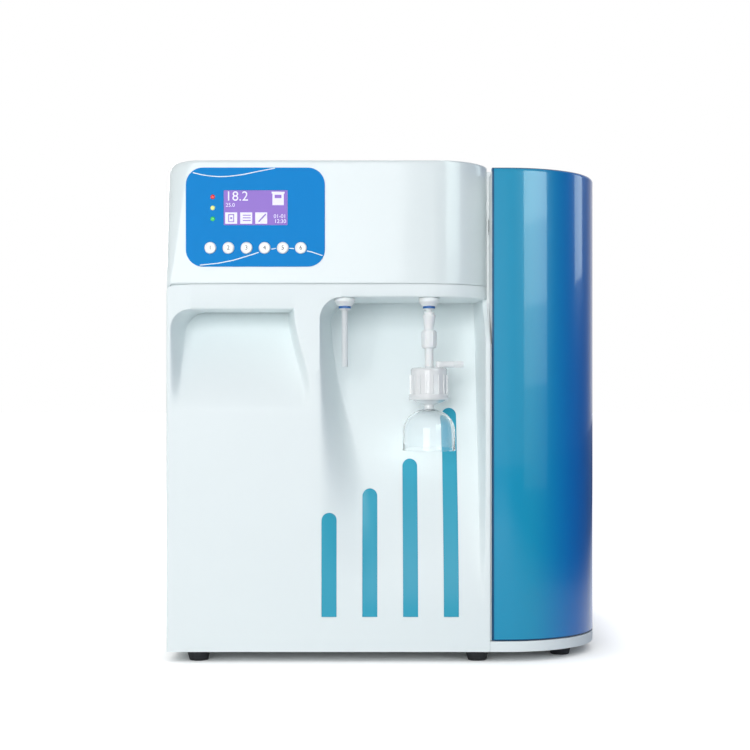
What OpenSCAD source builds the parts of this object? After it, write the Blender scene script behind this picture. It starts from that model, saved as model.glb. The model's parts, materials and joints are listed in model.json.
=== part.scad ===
// Bench ultrapure water system: a white moulded cabinet whose head carries the
// control panel and two outlets over a scooped front, and a tall blue door that
// wraps round the right side in front of the purification cartridges.
// X to the right, Y to the back, Z up. The origin is on the bench, at the
// middle of the footprint.

/* [Cabinet] */
// Width of the door's side, beyond the white front
door_w = 116; // [110:1:126]
// Depth from the front plane to the rear panel
body_d = 444; // [430:1:470]
// Height of the head's top above the bench
body_h = 502; // [498:1:520]
// Height of the rubber feet
foot_h = 10; // [8:1:16]
// Height of the white plinth above the feet
plinth_h = 10.5; // [9:0.5:14]
// Radius of the right front corner, seen from above
side_r = 100; // [80:1:110]
// Sheet thickness of the side, rear and partition plates
sheet = 1.5; // [1:0.1:2]

/* [Head] */
// Width of the white front, left edge to door
front_w = 324; // [318:1:330]
// Height of the head above its seam
head_h = 124; // [120:1:128]
// Depth of the moulded head cover, front to back
head_d = 150; // [130:1:170]
// Wall of the head cover
head_wall = 2.5; // [2:0.1:3.5]
// Radius of the head's right front corner, seen from above
head_r = 60; // [50:1:66]
// Radius of the head's left front corner at its top
head_left_r = 26; // [16:1:32]
// Radius of the head's left front corner at the seam
head_seam_r = 5; // [3:0.5:10]
// Radius of the head's top left corner, seen from the front
head_top_r = 12; // [6:0.5:16]

/* [Front scoops] */
// Wall of the front fascia
fascia_wall = 2; // [1.5:0.1:2.2]
// How far the left scoop's ceiling is below the seam
left_drop = 25; // [21:1:30]
// Depth of the left scoop under its ceiling
left_scoop_d = 62; // [40:1:70]
// How far the outlet bay's ceiling is below the seam
bay_drop = 13; // [10:1:16]
// Height over which the bay's back falls to the front plane
bay_fall = 305; // [295:1:310]
// Depth of the outlet bay under its ceiling
bay_d = 98; // [90:1:105]
// Width of the rim on each side of the scoops
rim_w = 4; // [3.8:0.1:6]

/* [Stripes] */
// Width of a coloured stripe
stripe_w = 15; // [10:0.5:18]
// Distance between two stripes
stripe_pitch = 40.8; // [36:0.2:42]
// Height of the stripes' lower ends above the bench
stripe_z = 45; // [35:1:60]
// Depth of the grooves that hold the stripes
groove_d = 1.2; // [0.8:0.1:1.4]

/* [Control panel] */
// Width of the blue overlay plate
panel_w = 139; // [130:1:150]
// Height of the blue overlay plate
panel_h = 99; // [94:1:106]
// Thickness of the overlay plate
panel_t = 1.2; // [0.8:0.1:1.6]
// Corner radius of the overlay plate
panel_r = 17; // [10:0.5:20]
// Width of the display
display_w = 64; // [56:1:70]
// Height of the display
display_h = 35; // [30:1:38]
// Diameter of a key
key_dia = 11.4; // [9:0.1:12.4]
// Distance between two keys
key_pitch = 18.1; // [16:0.1:19]
// How far a key stands proud of the overlay
key_proud = 1.4; // [1:0.1:2]
// Travel of a key
key_travel = 0.8; // [0.5:0.1:0.9]
// Radial clearance of a key's plunger in the head
key_fit = 0.07; // [0.04:0.01:0.09]
// Diameter of a status lamp
lamp_dia = 4.6; // [3:0.1:5.5]

/* [Outlets] */
// Distance of the outlets behind the front plane
outlet_y = 13; // [12:0.5:15]
// Distance of the left outlet from the rib between the scoops
outlet_left = 30.5; // [28:0.5:34]
// Distance of the right outlet from the front's right edge
outlet_right = 60.5; // [56:0.5:64]
// Outer diameter of the quick-connect tube
tube_dia = 6.35; // [6:0.05:6.6]
// Bore of the quick-connect tube
tube_bore = 4.3; // [3.5:0.1:4.6]
// Length of the left outlet tube below its collet
tube_l = 61; // [40:1:70]
// Outer diameter of the outlet bushing's flange
bushing_dia = 21; // [18:0.5:23]
// Diameter of the final filter's capsule
capsule_dia = 37; // [32:0.5:40]
// Diameter of the filling bell
bell_dia = 53; // [46:0.5:54]
// Height of the filling bell
bell_h = 42; // [36:0.5:44]
// Wall of the filling bell
bell_wall = 1.6; // [1.2:0.1:2.2]

/* [Door] */
// Wall of the door
door_wall = 3; // [2.5:0.1:3.5]
// Gap between the door and what it closes on
door_gap = 0.5; // [0.4:0.1:0.8]
// How far the door's top is below the head's top
door_drop = 7; // [5:0.5:8]
// Width of the lips along the door's top and bottom
door_lip = 12; // [10:0.5:14]
// Radius of the hinge pins
hinge_pin_r = 2.5; // [2:0.1:3]
// Distance of the hinge pins from the door's outer side
hinge_in = 8; // [7.5:0.1:9]
// Radial clearance of the hinge pins in their holes
hinge_clear = 0.06; // [0.04:0.01:0.09]

/* [Cartridges] */
// Clearance between the partition plate and the cartridges
cartridge_in = 15.4; // [14:0.1:20]
// Clearance between the cartridges and the door's side
cartridge_out = 21.8; // [19:0.1:26]
// Least gap between two cartridges
cartridge_gap = 9.5; // [6:0.5:16]
// Distance of the first cartridge's axis behind the door's round corner
row_front = 28; // [26:0.5:34]
// Distance of the last cartridge's axis from the rear panel
row_back = 62.5; // [58:0.5:66]
// Clearance between the hoses and the compartment's top plate
hose_clear = 30; // [20:1:60]
// Diameter of the hoses between the cartridges
hose_dia = 9.5; // [8:0.5:12]

/* [Inside] */
// Diameter of the pump's motor
pump_dia = 60; // [52:1:64]
// Length of the pump's motor
pump_l = 104; // [90:1:106]
// Width of the power supply
psu_w = 100; // [80:1:105]
// Length of the power supply
psu_l = 150; // [120:1:155]
// Height of the power supply
psu_h = 42; // [30:1:50]
// Diameter of the lamp reactor
reactor_dia = 50; // [44:1:54]
// Length of the lamp reactor
reactor_l = 200; // [170:1:205]

/* [Rear] */
// Distance between two water ports
port_pitch = 34; // [30:1:40]
// Width of the mains inlet
inlet_w = 28; // [27:0.5:30]
// Height of the mains inlet with its switch
inlet_h = 48; // [47:0.5:52]
// Side of the square cooling fan
fan_side = 80; // [60:5:90]

/* [Hidden] */

// Colours, as the photograph shows them
white = [0.93, 0.96, 0.96];
door_blue = [0.20, 0.58, 0.76];
panel_blue = [0.05, 0.55, 0.86];
stripe_teal = [0.22, 0.64, 0.77];
lcd_violet = [0.58, 0.47, 0.80];
clip_blue = [0.12, 0.40, 0.68];
nylon = [0.96, 0.97, 0.97];
clear_plastic = [0.88, 0.94, 0.95, 0.4];
dark_rubber = [0.05, 0.06, 0.08];
steel = [0.72, 0.73, 0.74];
grey_plastic = [0.45, 0.48, 0.50];
board_green = [0.10, 0.38, 0.20];

// Places shared by several pieces
body_w = front_w + door_w;
left_x = -body_w / 2;
right_x = body_w / 2;
bell_reach = bell_dia / 2 + 0.3 - outlet_y;
port_reach = 9.5;
front_y = -(body_d + port_reach - bell_reach) / 2;
back_y = front_y + body_d;
floor_z = foot_h;
plinth_top = foot_h + plinth_h;
seam_z = body_h - head_h;
left_ceiling_z = seam_z - left_drop;
bay_ceiling_z = seam_z - bay_drop;
door_top_z = body_h - door_drop;
front_right_x = left_x + front_w;
door_left_x = front_right_x + 2.3;
door_bottom_z = plinth_top + door_gap;
head_arc_u = front_w - head_r + 2;
close_gap = 0.4;

// Hinge of the door
hinge_x = right_x - hinge_in;
hinge_y = back_y - 12;
door_end_r = 10.2;
top_plate_t = 3;
cover_h = 13.5;
rear_w = body_w - 2;
bay_top_z = door_top_z - door_wall - door_gap - top_plate_t;

// Outlet axes: the bell hangs on the right one
rib_u = front_w * 37 / 81;
filter_x = front_right_x - outlet_right;
nozzle_x = left_x + rib_u + outlet_left;
outlet_axis_y = front_y + outlet_y;
bushing_h = 8.5;
collet_h = 3;
clip_h = 2.2;
outlet_z = bay_ceiling_z - bushing_h;

// Control panel
panel_x = left_x + 89.4;
panel_z = body_h - 57.2;
display_x = left_x + 89.7;
display_z = body_h - 47.8;
key_z = body_h - 88;
key_x0 = panel_x - 45;
lamp_x = left_x + 46.8;
lamp_zs = [body_h - 37, body_h - 48, body_h - 59];
key_clear = 0.35;

// Cartridges stand in a row along the compartment
bay_x0 = front_right_x + 0.3 + sheet;
bay_w = right_x - door_wall - bay_x0;
cartridge_y0 = front_y + side_r + row_front;
cartridge_pitch = (back_y - sheet - row_back - cartridge_y0) / 3;
cartridge_dia = min(bay_w - cartridge_in - cartridge_out, cartridge_pitch - cartridge_gap);
cartridge_x = bay_x0 + cartridge_in + cartridge_dia / 2;
cartridge_z0 = plinth_top + 26;
cap_h = 34;
cap_r = cartridge_dia * 0.35;
hose_span = cartridge_pitch - cap_r;
hose_lift = 4.1;
cartridge_h = bay_top_z - hose_clear - (hose_dia + hose_span) / 2 - hose_lift - cap_h
    - cartridge_z0;
clip_zs = [cartridge_z0 + 83.5, cartridge_z0 + cartridge_h - 86.5];

// Rear ports and mains inlet
ports_x0 = left_x + 60;
ports_z = floor_z + 80;
inlet_x = front_right_x - 44;
inlet_z = floor_z + 80;
fan_x = left_x + 160;
fan_z = body_h - 172;

// ---------- Outlines ----------

function ease(t) = let(c = max(0, min(1, t))) c * c * (3 - 2 * c);
function mix(a, b, t) = a + (b - a) * t;

// Plan of the whole cabinet, drawn inwards by an inset
module body_plan(inset = 0) {
    intersection() {
        translate([left_x + inset, front_y + inset])
            square([body_w - 2 * inset, body_d - 2 * inset]);
        union() {
            translate([right_x - side_r, front_y + side_r])
                circle(r = side_r - inset, $fn = 96);
            translate([left_x, front_y])
                square([body_w - side_r, body_d]);
            translate([left_x, front_y + side_r])
                square([body_w, body_d]);
        }
    }
}

// Plan of the head, drawn inwards by an inset, with its left corner radius
module head_plan(corner_r, inset = 0) {
    intersection() {
        translate([left_x + inset, front_y + inset])
            square([front_w - 2 * inset, head_d]);
        union() {
            translate([front_right_x - head_r + 2, front_y + head_r])
                circle(r = head_r - inset, $fn = 96);
            translate([left_x + corner_r, front_y])
                square([front_w - corner_r - head_r + 2, head_d]);
            translate([left_x + corner_r, front_y + corner_r])
                circle(r = corner_r - min(inset, corner_r - 1), $fn = 64);
            translate([left_x, front_y + corner_r])
                square([front_w / 2, head_d]);
            translate([left_x + corner_r, front_y + head_r])
                square([front_w, head_d]);
        }
    }
}

// A rectangle with round corners, centred
module round_rect(w, h, r) {
    hull()
        for (sx = [-1, 1], sz = [-1, 1])
            translate([sx * (w / 2 - r), sz * (h / 2 - r)])
                circle(r = r, $fn = 32);
}

// Turns a drawing in X and Z into a plate that runs back from the plane y
module front_plate(y, t) {
    translate([0, y + t, 0]) rotate([90, 0, 0]) linear_extrude(t) children();
}

module ring(outer_r, inner_r, h) {
    difference() {
        cylinder(r = outer_r, h = h, $fn = 48);
        translate([0, 0, -1]) cylinder(r = inner_r, h = h + 2, $fn = 48);
    }
}

// ---------- The scooped front ----------
// The fascia is a sheet that follows two scoops. Its columns follow the edges
// of the scoops, so the walls stay clean. u runs from the left edge, depth
// runs back from the front plane, and o is how far behind the face a sheet is.

rib_lean = 18;
scoop_foot_z = left_ceiling_z - 96;
bay_foot_z = bay_ceiling_z - bay_fall;
scoop_wall_u = 10;
return_d = 12;
ease_in = 0.15;

function toe(t) = let(c = max(0, min(1, t))) (1 + ease_in) * c * c / (c + ease_in);
function left_depth(z) =
    left_scoop_d * toe((z - scoop_foot_z) / (left_ceiling_z - scoop_foot_z));
function bay_depth(z) =
    bay_d * toe((z - bay_foot_z) / (bay_ceiling_z - bay_foot_z));
function corner_inset(z, top, r) =
    z > top - r ? r - sqrt(max(0, r * r - pow(z - top + r, 2))) : 0;
function head_arc(u) =
    u > head_arc_u
        ? head_r - sqrt(head_r * head_r - pow(min(u - head_arc_u, head_r), 2))
        : 0;
function cheek_depth(z) = head_arc(front_w) * ease((z - bay_ceiling_z) / 47 + 1);

// Edges of the scoops at height z
function rim_edge(z, o) = rim_w - o + corner_inset(z, left_ceiling_z, 20);
function rib_left(z, o) =
    rib_u - 1.5 + o - rib_lean * ease((z - left_ceiling_z) / 91 + 1);
function rib_right(z, o) =
    rib_u + 1.5 + 2 * fascia_wall - o + corner_inset(z, bay_ceiling_z, 22);
ramp_low_z = bay_ceiling_z - 275;
ramp_high_z = bay_ceiling_z - 15;
function bay_ramp(z) = mix(64, 9, ease((z - ramp_low_z) / (ramp_high_z - ramp_low_z)));
function cheek_edge(o) = front_w - rim_w + o;

// Each column: the edge it starts from, the edge it goes to, the share of the
// way, and the same share of the depth
scoop_steps = [0, 0.18, 0.38, 0.62, 0.82, 1];
columns = [
    for (k = [0:3]) [0, k],
    for (t = scoop_steps) [1, t],
    for (t = [0.34, 0.67]) [2, t],
    for (t = scoop_steps) [3, t],
    for (t = scoop_steps) [4, t],
    for (t = [0.2, 0.4, 0.6, 0.8]) [5, t],
    for (t = [0, 0.25, 0.6, 1]) [6, t],
    [7, 1]
];

function column_u(c, z, o) =
    let(kind = c[0], t = c[1],
        a = rim_edge(z, o), b = a + scoop_wall_u,
        d = rib_left(z, o), e = d - scoop_wall_u,
        f = rib_right(z, o), g = f + bay_ramp(z),
        q = cheek_edge(o), p = q - 6)
    kind == 0 ? (o > 0.5 ? mix(1.6, 1.9, t / 3) : [0, 0, 0.9, 3][t])
    : kind == 1 ? mix(a, b, t)
    : kind == 2 ? mix(b, e, t)
    : kind == 3 ? mix(e, d, t)
    : kind == 4 ? mix(f, g, t)
    : kind == 5 ? mix(g, p, t)
    : kind == 6 ? mix(p, q, t)
    : front_w;

function column_depth(c, z, o) =
    let(kind = c[0], t = c[1], l = left_depth(z), r = bay_depth(z),
        k = cheek_depth(z))
    kind == 0 ? (o > 0.5 ? [return_d, 5 + o, 2 + o, 1 + o][t] : [return_d, 3, 0.9, o][t])
    : o + (kind == 1 ? l * ease(t)
    : kind == 2 ? l
    : kind == 3 ? l * (1 - ease(t))
    : kind == 4 ? r * ease(t)
    : kind == 5 ? r
    : kind == 6 ? mix(r, k, ease(t))
    : k);

// Height of the ceiling over a column: the outlet bay's is higher
function ceiling_z(c, o) =
    o + mix(left_ceiling_z, bay_ceiling_z,
        ease((column_u(c, left_ceiling_z, 0) - 126) / 26));

rows = 26;
row_power = 1.6;
function row_share(j) = 1 - pow(1 - j / rows, row_power);
function fascia_top(c, o) =
    seam_z - close_gap / 2 - corner_inset(12 - column_u(c, seam_z, o), 12, 9);

// A point of the sheet: rows 0 to rows lie in the scoop, then the ceiling runs
// forward to the band under the head
function sheet_point(c, j, o) =
    let(top = ceiling_z(c, o), share = row_share(min(j, rows)),
        z = mix(floor_z, top, share), u = column_u(c, z, o),
        d = column_depth(c, z, o), arc = head_arc(u))
    j <= rows ? [left_x + u, front_y + d, z]
    : [left_x + u,
       front_y + (c[0] == 0 ? d : o + arc),
       j == rows + 1 ? top : fascia_top(c, o)];

// Closed solid between two sheets, o1 in front of o2
module fascia_sheet(o1, o2) {
    nc = len(columns);
    nr = rows + 3;
    front = [for (c = columns, j = [0:nr - 1]) sheet_point(c, j, o1)];
    back = [for (c = columns, j = [0:nr - 1]) sheet_point(c, j, o2)];
    n = nc * nr;
    faces = concat(
        [for (i = [0:nc - 2], j = [0:nr - 2], h = [0, 1])
            let(a = i * nr + j, b = a + nr)
            h == 0 ? [a, a + 1, b + 1] : [a, b + 1, b]],
        [for (i = [0:nc - 2], j = [0:nr - 2], h = [0, 1])
            let(a = n + i * nr + j, b = a + nr)
            h == 0 ? [a, b + 1, a + 1] : [a, b, b + 1]],
        [for (j = [0:nr - 2], h = [0, 1])
            let(a = j, b = n + j)
            h == 0 ? [a, b, b + 1] : [a, b + 1, a + 1]],
        [for (j = [0:nr - 2], h = [0, 1])
            let(a = (nc - 1) * nr + j, b = n + a)
            h == 0 ? [a, b + 1, b] : [a, a + 1, b + 1]],
        [for (i = [0:nc - 2], h = [0, 1])
            let(a = i * nr, b = a + nr)
            h == 0 ? [a, n + b, n + a] : [a, b, n + b]],
        [for (i = [0:nc - 2], h = [0, 1])
            let(a = i * nr + nr - 1, b = a + nr)
            h == 0 ? [a, n + a, n + b] : [a, n + b, b]]
    );
    polyhedron(points = concat(front, back), faces = faces, convexity = 12);
}

// Outlines of the four stripes, grown or shrunk by a margin
stripe_tops = [149, 172, 202, 254];
stripe_x0 = left_x + rib_u + 15;
module stripe_outline(k, margin) {
    x = stripe_x0 + k * stripe_pitch;
    r = stripe_w / 2 + margin;
    mid_z = stripe_z + 30;
    hull() {
        translate([x, stripe_tops[k] - stripe_w / 2]) circle(r = r, $fn = 32);
        translate([x - r, mid_z]) square([2 * r, 1]);
    }
    hull() {
        translate([x - r, mid_z]) square([2 * r, 1]);
        for (s = [-1, 1])
            translate([x + s * (r - 1), stripe_z - margin + 1]) circle(r = 1, $fn = 16);
    }
}

module front_fascia() {
    color(white)
    difference() {
        fascia_sheet(0, fascia_wall);
        intersection() {
            for (k = [0:3]) front_plate(front_y - 4, 90) stripe_outline(k, 0.1);
            fascia_sheet(-3, groove_d);
        }
        for (x = [nozzle_x, filter_x])
            translate([x, outlet_axis_y, 0]) {
                translate([0, 0, bay_ceiling_z - 2])
                    cylinder(r = bushing_stem_r + 0.2, h = 8, $fn = 40);
                translate([0, 0, bay_ceiling_z - 4.7])
                    cylinder(r = bushing_dia / 2 + 0.2, h = 4.75, $fn = 64);
            }
    }
}

module stripe_inlays() {
    color(stripe_teal)
    intersection() {
        for (k = [0:3]) front_plate(front_y - 4, 90) stripe_outline(k, 0);
        fascia_sheet(0.3, groove_d - 0.05);
    }
}

// ---------- Cabinet ----------

module base_tray() {
    color(white)
    difference() {
        translate([0, 0, floor_z]) linear_extrude(plinth_h) body_plan();
        translate([0, 0, floor_z + 2.5]) linear_extrude(plinth_h) body_plan(16);
        // The fascia covers the tray's front on the left
        translate([left_x - 1, front_y - 1, floor_z - 1])
            cube([front_w + 1.2, 1 + fascia_wall + 0.1, plinth_h + 2]);
        translate([left_x - 1, front_y - 1, floor_z - 1])
            cube([1 + 2, 1 + return_d + 0.3, plinth_h + 2]);
        // The side and rear plates stand round the tray
        translate([left_x - 1, front_y, floor_z - 1])
            cube([1 + sheet + 0.1, body_d + 1, plinth_h + 2]);
        translate([left_x - 1, back_y - sheet - 0.1, floor_z - 1])
            cube([rear_w + 1.1, sheet + 2, plinth_h + 2]);
        for (p = foot_places)
            translate([p[0], p[1], floor_z - 1]) {
                cylinder(r = 2.2, h = 5, $fn = 24);
                translate([0, 0, 3.5]) cylinder(r = 5, h = plinth_h, $fn = 32);
            }
        translate([hinge_x, hinge_y, floor_z + 3])
            cylinder(r = hinge_pin_r + hinge_clear, h = plinth_h, $fn = 40);
        for (i = [0:9])
            translate([left_x + 60 + i * 12, back_y - 284, floor_z - 1]) cube([5, 110, 5]);
    }
}
foot_places = [
    [left_x + 31, front_y + 16], [left_x + 312, front_y + 16],
    [right_x - 40, front_y + 52],
    [left_x + 31, back_y - 26], [left_x + 312, back_y - 26],
    [right_x - 36, back_y - 26]
];

module feet() {
    color(dark_rubber)
    for (p = foot_places)
        translate([p[0], p[1], 0])
            difference() {
                cylinder(r1 = 9.5, r2 = 12, h = foot_h, $fn = 48);
                translate([0, 0, -1]) cylinder(r = 5, h = 5.5, $fn = 32);
                translate([0, 0, -1]) cylinder(r = 2.2, h = foot_h + 2, $fn = 24);
            }
}

module foot_screws() {
    color(steel)
    for (p = foot_places)
        translate([p[0], p[1], 2]) {
            cylinder(r = 3.8, h = 2.5, $fn = 32);
            cylinder(r = 1.9, h = foot_h + 4, $fn = 24);
            translate([0, 0, foot_h + 0.6]) cylinder(r = 3.6, h = 2.6, $fn = 6);
        }
}

module left_side_panel() {
    y0 = front_y + return_d + 0.4;
    y1 = front_y + head_d + close_gap;
    top = body_h - cover_h - 0.1;
    color(white)
    translate([left_x, 0, 0])
        rotate([90, 0, 90])
        linear_extrude(sheet)
        polygon([
            [y0, floor_z], [back_y - sheet - 0.1, floor_z],
            [back_y - sheet - 0.1, top], [y1, top],
            [y1, seam_z - 9 - close_gap], [y0, seam_z - 9 - close_gap]
        ]);
}

module port_xs() {
    for (k = [0:3])
        translate([ports_x0 + k * port_pitch, 0, ports_z]) children();
}

module rear_panel() {
    y = back_y - sheet;
    color(white)
    union() {
        difference() {
            translate([left_x, y, floor_z])
                cube([rear_w, sheet, bay_top_z + top_plate_t - floor_z]);
            translate([left_x - 1, y - 1, body_h - cover_h - 0.1])
                cube([front_w + 1, sheet + 2, 10]);
            port_xs() translate([0, y - 1, 0])
                rotate([-90, 0, 0]) cylinder(r = 7.2, h = sheet + 2, $fn = 40);
            translate([inlet_x - inlet_w / 2 - 0.2, y - 1, inlet_z - inlet_h / 2 - 0.2])
                cube([inlet_w + 0.4, sheet + 2, inlet_h + 0.4]);
            for (i = [-3:3])
                translate([fan_x - fan_slot(i), y - 1, fan_z + i * 10 - 2])
                    cube([2 * fan_slot(i), sheet + 2, 4]);
            for (i = [0:11])
                translate([front_right_x - 64 + i * 9, y - 1, fan_z - 30]) cube([4, sheet + 2, 60]);
        }
        // Flange that closes the gap behind the compartment's top plate
        translate([front_right_x + 2, hinge_y + 3.2, bay_top_z])
            cube([hinge_x - 14 - front_right_x, back_y - hinge_y - 3.4, top_plate_t]);
    }
}
function fan_slot(i) = sqrt(pow(fan_side * 0.46, 2) - pow(i * 10, 2));

module top_cover() {
    y0 = front_y + head_d + close_gap;
    color(white)
    difference() {
        intersection() {
            translate([left_x, y0, body_h - cover_h])
                cube([front_w, back_y - y0, cover_h]);
            front_plate(y0, body_d)
                translate([left_x + front_w / 2, body_h - 100])
                round_rect(front_w, 200, head_top_r);
        }
        translate([left_x + 2, y0 + 2, body_h - 20])
            cube([front_w - 4, back_y - y0 - 4, 18]);
    }
}

module partition_plate() {
    color(white)
    translate([front_right_x + 0.3, 0, 0])
        rotate([90, 0, 90])
        linear_extrude(sheet)
        difference() {
            polygon([
                [front_y + 3, plinth_top + 0.3], [back_y - sheet - 0.1, plinth_top + 0.3],
                [back_y - sheet - 0.1, bay_top_z - 0.05],
                [front_y + head_arc(front_w) + 4, bay_top_z - 0.05],
                [front_y + head_arc(front_w) + 4, bay_ceiling_z],
                [front_y + 3, bay_ceiling_z - 47]
            ]);
            for (y = [180, 280])
                translate([front_y + y, bay_top_z - 68.5]) circle(r = 12, $fn = 32);
        }
}

module bay_top() {
    color(white)
    difference() {
        translate([0, 0, bay_top_z])
            linear_extrude(top_plate_t)
            difference() {
                intersection() {
                    body_plan(door_wall + door_gap);
                    union() {
                        translate([front_right_x + 0.3, front_y])
                            square([right_x, hinge_y + 3 - front_y]);
                        translate([hinge_x, hinge_y]) circle(r = 4.4, $fn = 40);
                    }
                }
                // The door's return stands in front of the plate's left corner
                translate([front_right_x - 1, front_y - 1])
                    square([door_left_x + 3.5 - front_right_x + 1, return_plate_d + 2.5]);
                // The corner by the hinge stays inside the swinging door
                translate([hinge_x, hinge_y])
                    difference() {
                        translate([0, -1]) square([12, 12]);
                        circle(r = 4.4, $fn = 40);
                    }
            }
        translate([hinge_x, hinge_y, bay_top_z - 1])
            cylinder(r = hinge_pin_r + hinge_clear, h = top_plate_t + 2, $fn = 40);
    }
}

// ---------- Head and control panel ----------

// Lower edge of the head: it turns down at the left, over the fascia's corner
module head_front_outline(inset) {
    difference() {
        translate([left_x + inset, seam_z - 12])
            square([front_w - 2 * inset, body_h - seam_z + 12 - inset]);
        hull() {
            translate([left_x + 9, seam_z + close_gap / 2 - 9])
                circle(r = 9, $fn = 48);
            translate([right_x, seam_z - 20]) square([1, 20 + close_gap / 2]);
            translate([left_x, seam_z - 40]) square([1, 31]);
        }
        translate([left_x - 1, body_h - head_top_r])
            difference() {
                square([head_top_r + 1, head_top_r + 1]);
                translate([head_top_r + 1, 0])
                    circle(r = head_top_r - inset, $fn = 48);
            }
    }
}

// Solid form of the head: its left corner opens out towards the top
module head_form(inset) {
    intersection() {
        hull() {
            translate([0, 0, seam_z - 12])
                linear_extrude(1) head_plan(head_seam_r, inset);
            translate([0, 0, body_h - 1])
                linear_extrude(1) head_plan(head_left_r, inset);
        }
        front_plate(front_y - 1, head_d + 2) head_front_outline(inset);
    }
}

module head_cover() {
    color(white)
    difference() {
        head_form(0);
        translate([0, 0.01, -0.01]) intersection() {
            head_form(head_wall);
            translate([left_x, front_y, 0]) cube([body_w, head_d + 5, body_h]);
        }
        translate([left_x + head_wall, front_y + head_d - 10, seam_z - 20])
            cube([front_w - 2 * head_wall, 30, body_h - seam_z + 20 - head_wall]);
        // The underside stays open behind the band
        translate([left_x + head_wall, front_y + head_r, seam_z - 20])
            cube([front_w - 2 * head_wall, head_d, 25]);
        front_plate(front_y - 1, 8)
            translate([display_x, display_z])
            square([display_w - 4, display_h - 4], center = true);
        for (k = [0:5])
            translate([key_x0 + k * key_pitch, front_y - 1, key_z])
                rotate([-90, 0, 0])
                cylinder(r = key_dia / 2 - 1.5 + key_fit, h = 8, $fn = 40);
        for (z = lamp_zs)
            translate([lamp_x, front_y - 1, z])
                rotate([-90, 0, 0])
                cylinder(r = lamp_dia / 2 - 0.5, h = 8, $fn = 32);
    }
}

module control_panel() {
    color(panel_blue)
    difference() {
        front_plate(front_y - panel_t - 0.05, panel_t)
            translate([panel_x, panel_z])
            round_rect(panel_w, panel_h, panel_r);
        front_plate(front_y - 5, 10)
            translate([display_x, display_z])
            square([display_w, display_h], center = true);
        for (k = [0:5])
            translate([key_x0 + k * key_pitch, front_y - 5, key_z])
                rotate([-90, 0, 0])
                cylinder(r = key_dia / 2 + key_clear, h = 10, $fn = 48);
        for (z = lamp_zs)
            translate([lamp_x, front_y - 5, z])
                rotate([-90, 0, 0]) cylinder(r = lamp_dia / 2 + 0.1, h = 10, $fn = 32);
    }
}

module display_window() {
    color(lcd_violet)
    front_plate(front_y - panel_t - 0.05, panel_t)
        translate([display_x, display_z])
        square([display_w - 0.2, display_h - 0.2], center = true);
}

board_y = front_y + head_wall + 9;

module lcd_module() {
    color(grey_plastic)
    difference() {
        union() {
            front_plate(front_y + head_wall + 0.2, 8)
                translate([display_x, display_z])
                square([display_w + 10, display_h + 8], center = true);
            front_plate(front_y + 0.1, 3)
                translate([display_x, display_z])
                square([display_w - 4.6, display_h - 4.6], center = true);
        }
    }
}

module control_board() {
    color(board_green)
    difference() {
        union() {
            front_plate(board_y, 1.6)
                translate([panel_x, panel_z - 2])
                square([panel_w - 6, panel_h - 12], center = true);
            // Key switches, pin rows and a terminal block on the board
            for (k = [0:5])
                translate([key_x0 + k * key_pitch, board_y - 3, key_z])
                    rotate([-90, 0, 0]) {
                        translate([-3, -3, 0]) cube([6, 6, 3.2]);
                    }
            for (k = [0:4])
                translate([panel_x - 50 + k * 22, board_y + 1.5, panel_z + 20])
                    cube([14, 8, 9]);
        }
        // Standoffs of the head pass beside the board
        for (sx = [-1, 1], sz = [-1, 1])
            translate([panel_x + sx * (panel_w / 2 - 8), board_y - 1,
                       panel_z - 2 + sz * (panel_h / 2 - 11)])
                rotate([-90, 0, 0]) cylinder(r = 1.7, h = 4, $fn = 24);
    }
}

// The screws that hold the board in the head's bosses
module panel_screws() {
    color(steel)
    for (sx = [-1, 1], sz = [-1, 1])
        translate([panel_x + sx * (panel_w / 2 - 8), front_y + head_wall + 0.1,
                   panel_z - 2 + sz * (panel_h / 2 - 11)])
            rotate([-90, 0, 0]) {
                cylinder(r = 3, h = board_y - front_y - head_wall - 0.1, $fn = 6);
                cylinder(r = 1.5, h = 13, $fn = 24);
                translate([0, 0, board_y - front_y - head_wall + 1.6])
                    cylinder(r = 2.8, h = 2, $fn = 32);
            }
}

module status_lamp(k) {
    translate([lamp_x, front_y - panel_t - 0.05, lamp_zs[k]])
        rotate([-90, 0, 0]) {
            cylinder(r = lamp_dia / 2, h = panel_t, $fn = 32);
            cylinder(r = lamp_dia / 2 - 0.8,
                     h = board_y - front_y + panel_t + 0.05, $fn = 32);
            intersection() {
                translate([0, 0, 1.4]) sphere(r = 2.7, $fn = 40);
                translate([0, 0, -1.4]) cylinder(r = lamp_dia / 2, h = 2, $fn = 32);
            }
        }
}

module lamp_red() color([0.85, 0.12, 0.10]) status_lamp(0);
module lamp_yellow() color([0.90, 0.92, 0.45]) status_lamp(1);
module lamp_green() color([0.20, 0.78, 0.35]) status_lamp(2);

// A key: a domed cap with a rim, on a plunger that reaches its switch
module panel_key(k) {
    color(nylon)
    translate([key_x0 + k * key_pitch, front_y - panel_t - key_proud, key_z])
        rotate([-90, 0, 0]) {
            translate([0, 0, 0.5])
                cylinder(r = key_dia / 2,
                         h = key_proud + panel_t - 0.5 - key_travel - 0.3, $fn = 48);
            cylinder(r1 = key_dia / 2 - 1, r2 = key_dia / 2, h = 0.5, $fn = 48);
            cylinder(r = key_dia / 2 - 1.5,
                     h = board_y - 3 - front_y + panel_t + key_proud - key_travel - 0.3,
                     $fn = 40);
        }
}

module key_1() panel_key(0);
module key_2() panel_key(1);
module key_3() panel_key(2);
module key_4() panel_key(3);
module key_5() panel_key(4);
module key_6() panel_key(5);

// ---------- Outlets ----------

bushing_stem_r = 8;
clip_out_r = 6.2;

module at_outlet(x) translate([x, outlet_axis_y, 0]) children();

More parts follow.
